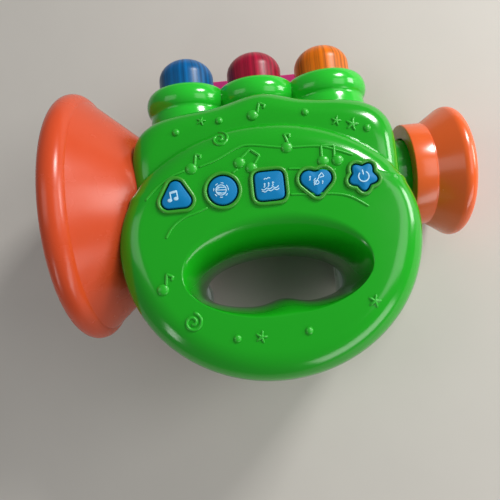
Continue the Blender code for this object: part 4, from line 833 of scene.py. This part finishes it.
orange_plastic = plastic("orange plastic", (228, 94, 34), gloss=0.24, smear=0.14, coat=0.15)
PIPE_BORE, PIPE_FOOT, PIPE_END = 14.0, 43.5, 71.1
pipe_profile = [(PIPE_BORE, PIPE_END), (PIPE, PIPE_END), (PIPE, PIPE_FLANGE_HIGH),
                (PIPE_FLANGE, PIPE_FLANGE_HIGH), (PIPE_FLANGE, PIPE_FLANGE_LOW),
                (PIPE, PIPE_FLANGE_LOW), (PIPE, PIPE_FOOT), (PIPE_BORE, PIPE_FOOT)]
lead_pipe = skin("lead_pipe_skin", [turned(pipe_profile, 120, y=MOUTH_Y)], green_plastic, ring=True)
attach(lead_pipe, "body")
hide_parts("lead_pipe")

CUP_FLOOR, CUP_FLAT, LIP_RING, LIP_X, LIP_ROLL = 73.6, 9.0, 24.3, 80.7, 4.0
WAIST = (22.1, 70.2)
MOUTH_COLLAR, COLLAR_START, COLLAR_END, COLLAR_EDGE = 22.4, 61.0, 69.4, 0.5
SOCKET, SOCKET_FLOOR, SOCKET_EDGE = 16.4, 71.4, 0.6
angle = np.linspace(0, math.pi / 2, 24)
basin = CUP_FLAT + (LIP_RING - LIP_ROLL - CUP_FLAT) * np.sin(angle)
cup = [(0.0, CUP_FLOOR)] + list(zip(basin, LIP_X - (LIP_X - CUP_FLOOR) * np.cos(angle)))
away = (WAIST[0] - LIP_RING, WAIST[1] - LIP_X)
leave = math.degrees(math.atan2(away[1], away[0]) + math.acos(LIP_ROLL / math.hypot(*away)))
cup += arc((LIP_RING, LIP_X), LIP_ROLL, 180.0, leave, 36)[1:]
cup += [WAIST] + arc((MOUTH_COLLAR - COLLAR_EDGE, COLLAR_END), COLLAR_EDGE, 60, 0, 4)
cup += arc((MOUTH_COLLAR - COLLAR_EDGE, COLLAR_START + COLLAR_EDGE), COLLAR_EDGE, 0, -90, 5)
cup += arc((SOCKET + SOCKET_EDGE, COLLAR_START + SOCKET_EDGE), SOCKET_EDGE, -90, -180, 5)
cup += [(SOCKET, SOCKET_FLOOR), (0.0, SOCKET_FLOOR)]
mouthpiece = skin("mouthpiece_skin", [turned(cup, 160, y=MOUTH_Y)], orange_plastic)
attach(mouthpiece, "body")
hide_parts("mouthpiece")

# Horn: an orange bell, a straight cone with a thick rolled lip, moulded in one with the flanged
# neck that the two shells trap.

HORN_LIP, HORN_LIP_X, HORN_ROLL = 48.0, -77.6, 5.5
HORN_BORE, HORN_WALL = 17.5, 2.5
SLOPE = 0.866015


def meets_lip(inward):
    """Angle on the lip's circle, in degrees, at which the cone's line first runs into it."""
    run = np.array([SLOPE, -1.0]) / math.hypot(SLOPE, 1.0)
    across = np.array([-run[1], run[0]])
    start = np.array([HORN_NECK, HORN_NECK_X]) - inward * across
    to_middle = np.array([HORN_LIP, HORN_LIP_X]) - start
    reach = to_middle @ run - math.sqrt(HORN_ROLL**2 - (to_middle @ across) ** 2)
    place = start + run * reach
    return math.degrees(math.atan2(place[1] - HORN_LIP_X, place[0] - HORN_LIP))


bell = [(0.0, HORN_NECK_X), (HORN_BORE, HORN_NECK_X), (HORN_BORE, HORN_FLANGE_HIGH),
        (HORN_FLANGE, HORN_FLANGE_HIGH), (HORN_FLANGE, HORN_FLANGE_LOW),
        (HORN_NECK, HORN_FLANGE_LOW), (HORN_NECK, HORN_NECK_X)]
bell += arc((HORN_LIP, HORN_LIP_X), HORN_ROLL, meets_lip(0.0), meets_lip(HORN_WALL) - 360.0, 60)
bell += [(HORN_BORE, HORN_NECK_X - HORN_WALL), (0.0, HORN_NECK_X - HORN_WALL)]
# Partly painted shade: the horn is a moulding of its own, and its darker, redder orange than the
# mouthpiece's also stands in for the shade on its side turned away from the windows.
shaded_horn_orange = plastic("horn orange plastic", (196, 70, 33), gloss=0.26, smear=0.14, shine=0.4)
horn = skin("horn_skin", [turned(bell, 200, y=HORN_Y)], shaded_horn_orange, crease=25)
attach(horn, "body")
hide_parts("horn")

# Valve board, lamps and springs: a printed board under the collars with a clear lamp for each
# cap and a steel spring round it.

SPRING_LOW, SPRING_HIGH, SPRING_ROUND = 25.0, 37.8, 12.3
SPRING_WIRE, SPRING_TURNS, SPRING_STEPS = 0.45, 4, 193
lamp_clear = plastic("clear lamp", (236, 238, 236), gloss=0.08, clear=0.85)


def coil(x):
    """A wire wound round the axis at x, as one tube that climbs evenly."""
    angle = np.linspace(0, SPRING_TURNS * 2 * math.pi, SPRING_STEPS)[:, None]
    climb = np.linspace(SPRING_LOW + SPRING_WIRE, SPRING_HIGH - SPRING_WIRE, SPRING_STEPS)
    across = np.linspace(0, 2 * math.pi, 10, endpoint=False)
    out = SPRING_ROUND + SPRING_WIRE * np.cos(across)
    up = climb[:, None] + SPRING_WIRE * np.sin(across)
    tube = np.stack([x + out * np.cos(angle), up, out * np.sin(angle)], -1)
    ends = [np.broadcast_to(tube[end].mean(0), (1, 10, 3)) for end in (0, -1)]
    return np.concatenate([ends[0], tube, ends[1]])


finish_of("valve_board", board_green)
for x, colour in VALVES:
    finish_of("valve_led_" + colour, lamp_clear)
    spring = skin("valve_spring_" + colour + "_skin", [coil(x)], steel, crease=60)
    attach(spring, "body")
    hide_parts("valve_spring_" + colour)
    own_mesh(spring)

# Valve block: three thick rolled collars moulded as one piece in green plastic, whose necks
# stand in the shoulder and whose bores guide the caps.

BORE, BORE_WIDE, BORE_LEDGE = 12.6, 14.3, 40.6
ROLL_RING, ROLL_LEVEL, ROLL_OUT, ROLL_UP = 14.3, 47.2, 4.4, 5.8
bulge = np.radians(np.linspace(90.0, -48.0, 36))
roll = zip(ROLL_RING + ROLL_OUT * np.cos(bulge), ROLL_LEVEL + ROLL_UP * np.sin(bulge))
collar = [(0.0, COLLAR_TOP), *roll, (17.1, 42.4), (17.0, 41.9), (17.1, 41.3), (COLLAR_NECK, 39.5),
          (COLLAR_NECK, COLLAR_FOOT), (0.0, COLLAR_FOOT)]
bore = [(0.0, 60.0), (BORE, 60.0), (BORE, BORE_LEDGE), (BORE_WIDE, BORE_LEDGE),
        (BORE_WIDE, 20.0), (0.0, 20.0)]
collars = [turned(collar, 128, x=x, along="Y", turn=0.003 * x + 0.1) for x, _ in VALVES]
# Painted light: the collars get a brighter green than the body's green plastic, for the light that
# falls on them.
lit_collar_green = plastic("green plastic painted brighter", (34, 184, 42))
valve_block = skin("valve_block_skin", collars[:1], lit_collar_green)
for solid in collars[1:]:
    joined(valve_block, skin("collar", [solid], lit_collar_green), "UNION")
plate_slot = bar(rounded_box((-30.3, 30.3), (44.7, 60.0), (0.5,) * 4, 3), -16.4, -13.4)
for solid in [turned(bore, 128, x=x, along="Y") for x, _ in VALVES] + [plate_slot, HORN_ROOM]:
    joined(valve_block, skin("room", [solid], lit_collar_green))
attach(valve_block, "body")
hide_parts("valve_block")

# Back plate: a magenta plastic plate that stands behind the caps and shows between them.

magenta_plastic = plastic("magenta plastic", (208, 52, 128), gloss=0.22)
plate = slab(rounded_box((-30.0, 30.0), (45.0, 64.5), (5.0,) * 4), -16.1, -13.7, 0.6)
back_plate = skin("valve_back_plate_skin", [plate], magenta_plastic)
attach(back_plate, "body")
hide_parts("valve_back_plate")

# Valve caps: hollow domed caps of clear coloured plastic, smooth outside and fluted inside, with
# upright streaks in the colour. The foot's flange keeps each cap in its bore.

CAP_COLOURS = {"blue": (0, 110, 178), "crimson": (184, 20, 60), "orange": (250, 132, 8)}
CAP_ROUND, CAP_SHOULDER, CAP_DOME = 12.3, 59.6, 9.4
CAP_INSIDE, INSIDE_SHOULDER, INSIDE_DOME = 10.7, 62.3, 5.1
CAP_FLANGE, CAP_LEDGE, CAP_FOOT, CAP_MOUTH = 14.0, 40.3, 38.1, 11.0
CAP_STEPS = 224
FLUTES, FLUTE_DEPTH, FLUTE_TOP, FLUTE_FADE = 28, 0.07, 67.0, 4.0


def streaked(look, x):
    """Darker and lighter streaks up the cap at x and over its dome: a noise read on the unit
    circle at the bearing from the cap's axis."""
    nodes, links = look.node_tree.nodes, look.node_tree.links
    base = nodes["Principled BSDF"].inputs["Base Color"]
    where, flat = nodes.new("ShaderNodeTexCoord"), nodes.new("ShaderNodeMapping")
    axis = settle((x, 0.0, 0.0))
    flat.inputs["Location"].default_value = (-axis[0], 0.0, -axis[2])
    flat.inputs["Scale"].default_value = (1.0, 0.0, 1.0)
    bearing = nodes.new("ShaderNodeVectorMath")
    bearing.operation = "NORMALIZE"
    streaks, spread = nodes.new("ShaderNodeTexNoise"), nodes.new("ShaderNodeMapRange")
    streaks.inputs["Scale"].default_value = 9.0
    streaks.inputs["Detail"].default_value = 3.0
    for label, value in (("From Min", 0.34), ("From Max", 0.66), ("To Min", 0.55),
                         ("To Max", 1.35)):
        spread.inputs[label].default_value = value
    shade = nodes.new("ShaderNodeHueSaturation")
    links.new(where.outputs["Object"], flat.inputs["Vector"])
    links.new(flat.outputs["Vector"], bearing.inputs[0])
    links.new(bearing.outputs["Vector"], streaks.inputs["Vector"])
    links.new(streaks.outputs["Fac"], spread.inputs["Value"])
    links.new(spread.outputs["Result"], shade.inputs["Value"])
    links.new(base.links[0].from_socket, shade.inputs["Color"])
    links.new(shade.outputs["Color"], base)
    return look


for x, colour in VALVES:
    over = np.linspace(0, math.pi / 2, 28)
    dome = list(zip(CAP_ROUND * np.sin(over), CAP_SHOULDER + CAP_DOME * np.cos(over)))
    foot = [(CAP_ROUND, CAP_LEDGE), (CAP_FLANGE, CAP_LEDGE), (CAP_FLANGE, CAP_FOOT),
            (CAP_MOUTH, CAP_FOOT)]
    outside = turned(dome + foot, CAP_STEPS, x=x, along="Y")
    inner = list(zip(CAP_INSIDE * np.sin(over), INSIDE_SHOULDER + INSIDE_DOME * np.cos(over)))
    inside = turned([(CAP_INSIDE, CAP_FOOT)] + inner[::-1], CAP_STEPS, along="Y")
    round_it = np.arange(CAP_STEPS) * 2 * math.pi / CAP_STEPS
    fade = np.clip((FLUTE_TOP - inside[..., 1]) / FLUTE_FADE, 0.0, 1.0)
    depth = 1 + FLUTE_DEPTH * np.cos(FLUTES * round_it) * fade
    inside = np.stack([x + inside[..., 0] * depth, inside[..., 1], inside[..., 2] * depth], -1)
    clear_plastic = streaked(plastic("clear " + colour, CAP_COLOURS[colour], gloss=0.32,
                                     clear=0.4, shine=0.2), x)
    cap = skin("valve_cap_" + colour + "_skin", [np.concatenate([outside, inside])],
               clear_plastic, crease=50)
    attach(cap, "cap_" + colour)
    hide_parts("valve_cap_" + colour)

# Battery door and screws: a white plate on the back of the battery box, flush with its rim, and
# pan-head steel screws with a cross recess, five sunk in the rear shell and one in the door.

DOOR_SCREW, DOOR_THICK, DOOR_EDGE, DOOR_SEAT = (39.25, -40.5), 2.0, 0.5, 1.0
GRIP_X, GRIPS, GRIP_HALF, GRIP_CORNER, GRIP_DEEP = (37.0, 49.0), (3.0, 5.0, 7.0), 0.35, 0.3, 0.5
door = slab(box_outline(0.3, 0.2), DOOR_FACE, DOOR_FACE + DOOR_THICK, DOOR_EDGE)
battery_door = skin("battery_door_skin", [door], white_plastic)
recess = [round_bar(*DOOR_SCREW, HEAD_ROOM, BEHIND, DOOR_FACE + DOOR_SEAT)]
for y in GRIPS:
    grip = rounded_box(GRIP_X, (y - GRIP_HALF, y + GRIP_HALF), (GRIP_CORNER,) * 4, 4)
    recess.append(bar(grip, BEHIND, DOOR_FACE + GRIP_DEEP))
joined(battery_door, skin("recess", recess, white_plastic))
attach(battery_door, "body")
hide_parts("battery_door")


SHANK, SHANK_TIP, TIP_LONG = 1.4, 1.2, 0.3
HEAD_ROUND, HEAD_THICK, HEAD_DOME, SCREW_STEPS = 2.7, 1.2, 0.6, 72
ARM_HALF, ARM_SIDE, CROSS_ROUND, CROSS_FADE, CROSS_DEEP = 0.55, 0.15, 1.9, 0.3, 1.0


def screw_grid(x, y, seat, length):
    """A shank and a pan head on one round grid, the head's dome sunk by a cross whose arms are
    narrow along both axes and fade out before the rim."""
    tip = seat + length
    profile = [(0.0, tip), (SHANK_TIP, tip), (SHANK, tip - TIP_LONG), (SHANK, seat),
               (HEAD_ROUND, seat)]
    grid = turned(profile, SCREW_STEPS, x=x, y=y, along="Z")
    share = np.linspace(1, 0, 24)[:, None]
    angle = np.arange(SCREW_STEPS) * 2 * math.pi / SCREW_STEPS
    a, b = HEAD_ROUND * share * np.cos(angle), HEAD_ROUND * share * np.sin(angle)
    arm = np.clip((ARM_HALF - np.minimum(np.abs(a), np.abs(b))) / ARM_SIDE, 0, 1)
    cross = arm * np.clip((CROSS_ROUND - np.hypot(a, b)) / CROSS_FADE, 0, 1)
    dome = seat - HEAD_THICK - HEAD_DOME * (1 - share**2) + CROSS_DEEP * cross
    return np.concatenate([grid, np.stack([x + a, y + b, dome], -1)])


for number, (x, y) in enumerate(SCREW_PLACES, 1):
    case_grid = screw_grid(x, y, SCREW_SEAT, SCREW_LENGTH)
    case_screw = skin(f"case_screw_{number}_skin", [case_grid], steel)
    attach(case_screw, "body")
    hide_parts(f"case_screw_{number}")
door_grid = screw_grid(*DOOR_SCREW, DOOR_FACE + DOOR_SEAT, 6.0)
door_screw = skin("door_screw_skin", [door_grid], steel)
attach(door_screw, "body")
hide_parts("door_screw")

# Table, light and camera: a pale beige table, six soft lamps for the bright windows at the
# right and the light of the room, and the photograph's view from above.

table_look = plastic("pale table", (198, 194, 187), gloss=0.7, smear=0.1, cloud=0.05)
bpy.ops.mesh.primitive_plane_add(size=4.0)
table = bpy.context.object
table.name = "table"
table.data.materials.append(table_look)


def window(name, place, size, power, colour):
    """A soft rectangular light, turned towards the toy."""
    light = bpy.data.lights.new(name, "AREA")
    light.shape = "RECTANGLE"
    light.size, light.size_y = size
    light.energy = power
    light.color = colour
    lamp = bpy.data.objects.new(name, light)
    lamp.location = place
    towards = Vector((0.0, 0.0, 0.03)) - Vector(place)
    lamp.rotation_euler = towards.to_track_quat("-Z", "Y").to_euler()
    bpy.context.scene.collection.objects.link(lamp)


window("low window", (0.78, 0.16, 0.20), (0.30, 0.22), 2.6, (1.0, 0.99, 0.97))
window("high window", (0.52, 0.50, 0.45), (0.16, 0.22), 4.9, (1.0, 0.99, 0.97))
window("side light", (0.42, 0.02, 0.46), (0.34, 0.30), 0.8, (1.0, 0.99, 0.97))
window("far light", (-0.32, 0.06, 0.50), (0.24, 0.30), 0.35, (1.0, 0.98, 0.96))
window("low fill", (0.40, -0.50, 0.22), (0.50, 0.20), 1.2, (1.0, 0.98, 0.96))
window("far window", (-0.45, -0.42, 0.34), (0.08, 0.24), 0.3, (1.0, 0.99, 0.98))
world = bpy.data.worlds.new("room light")
bpy.context.scene.world = world
world.use_nodes = True
sky = world.node_tree.nodes["Background"]
sky.inputs["Color"].default_value = (0.95, 0.97, 1.0, 1.0)
sky.inputs["Strength"].default_value = 0.21
bpy.context.scene.view_settings.view_transform = "Standard"

CAMERA_PLACE = (-9.194, -40.848, 226.776)
YAW, PITCH, ROLL = -0.002, -0.09, 0.1
SENSOR, FOCAL = 36.0, 36.8
lens = bpy.data.cameras.new("camera")
lens.sensor_width = SENSOR
lens.lens = FOCAL
lens.clip_start = 0.01
turn = Matrix.Rotation(ROLL, 3, "Z") @ Matrix.Rotation(PITCH, 3, "X") @ Matrix.Rotation(YAW, 3, "Y")
camera = bpy.data.objects.new("camera", lens)
camera.matrix_world = Matrix.Translation(settle(CAMERA_PLACE)) @ (
    Matrix.Rotation(LEAN, 3, "Y") @ turn.transposed()).to_4x4()
bpy.context.scene.collection.objects.link(camera)
bpy.context.scene.camera = camera
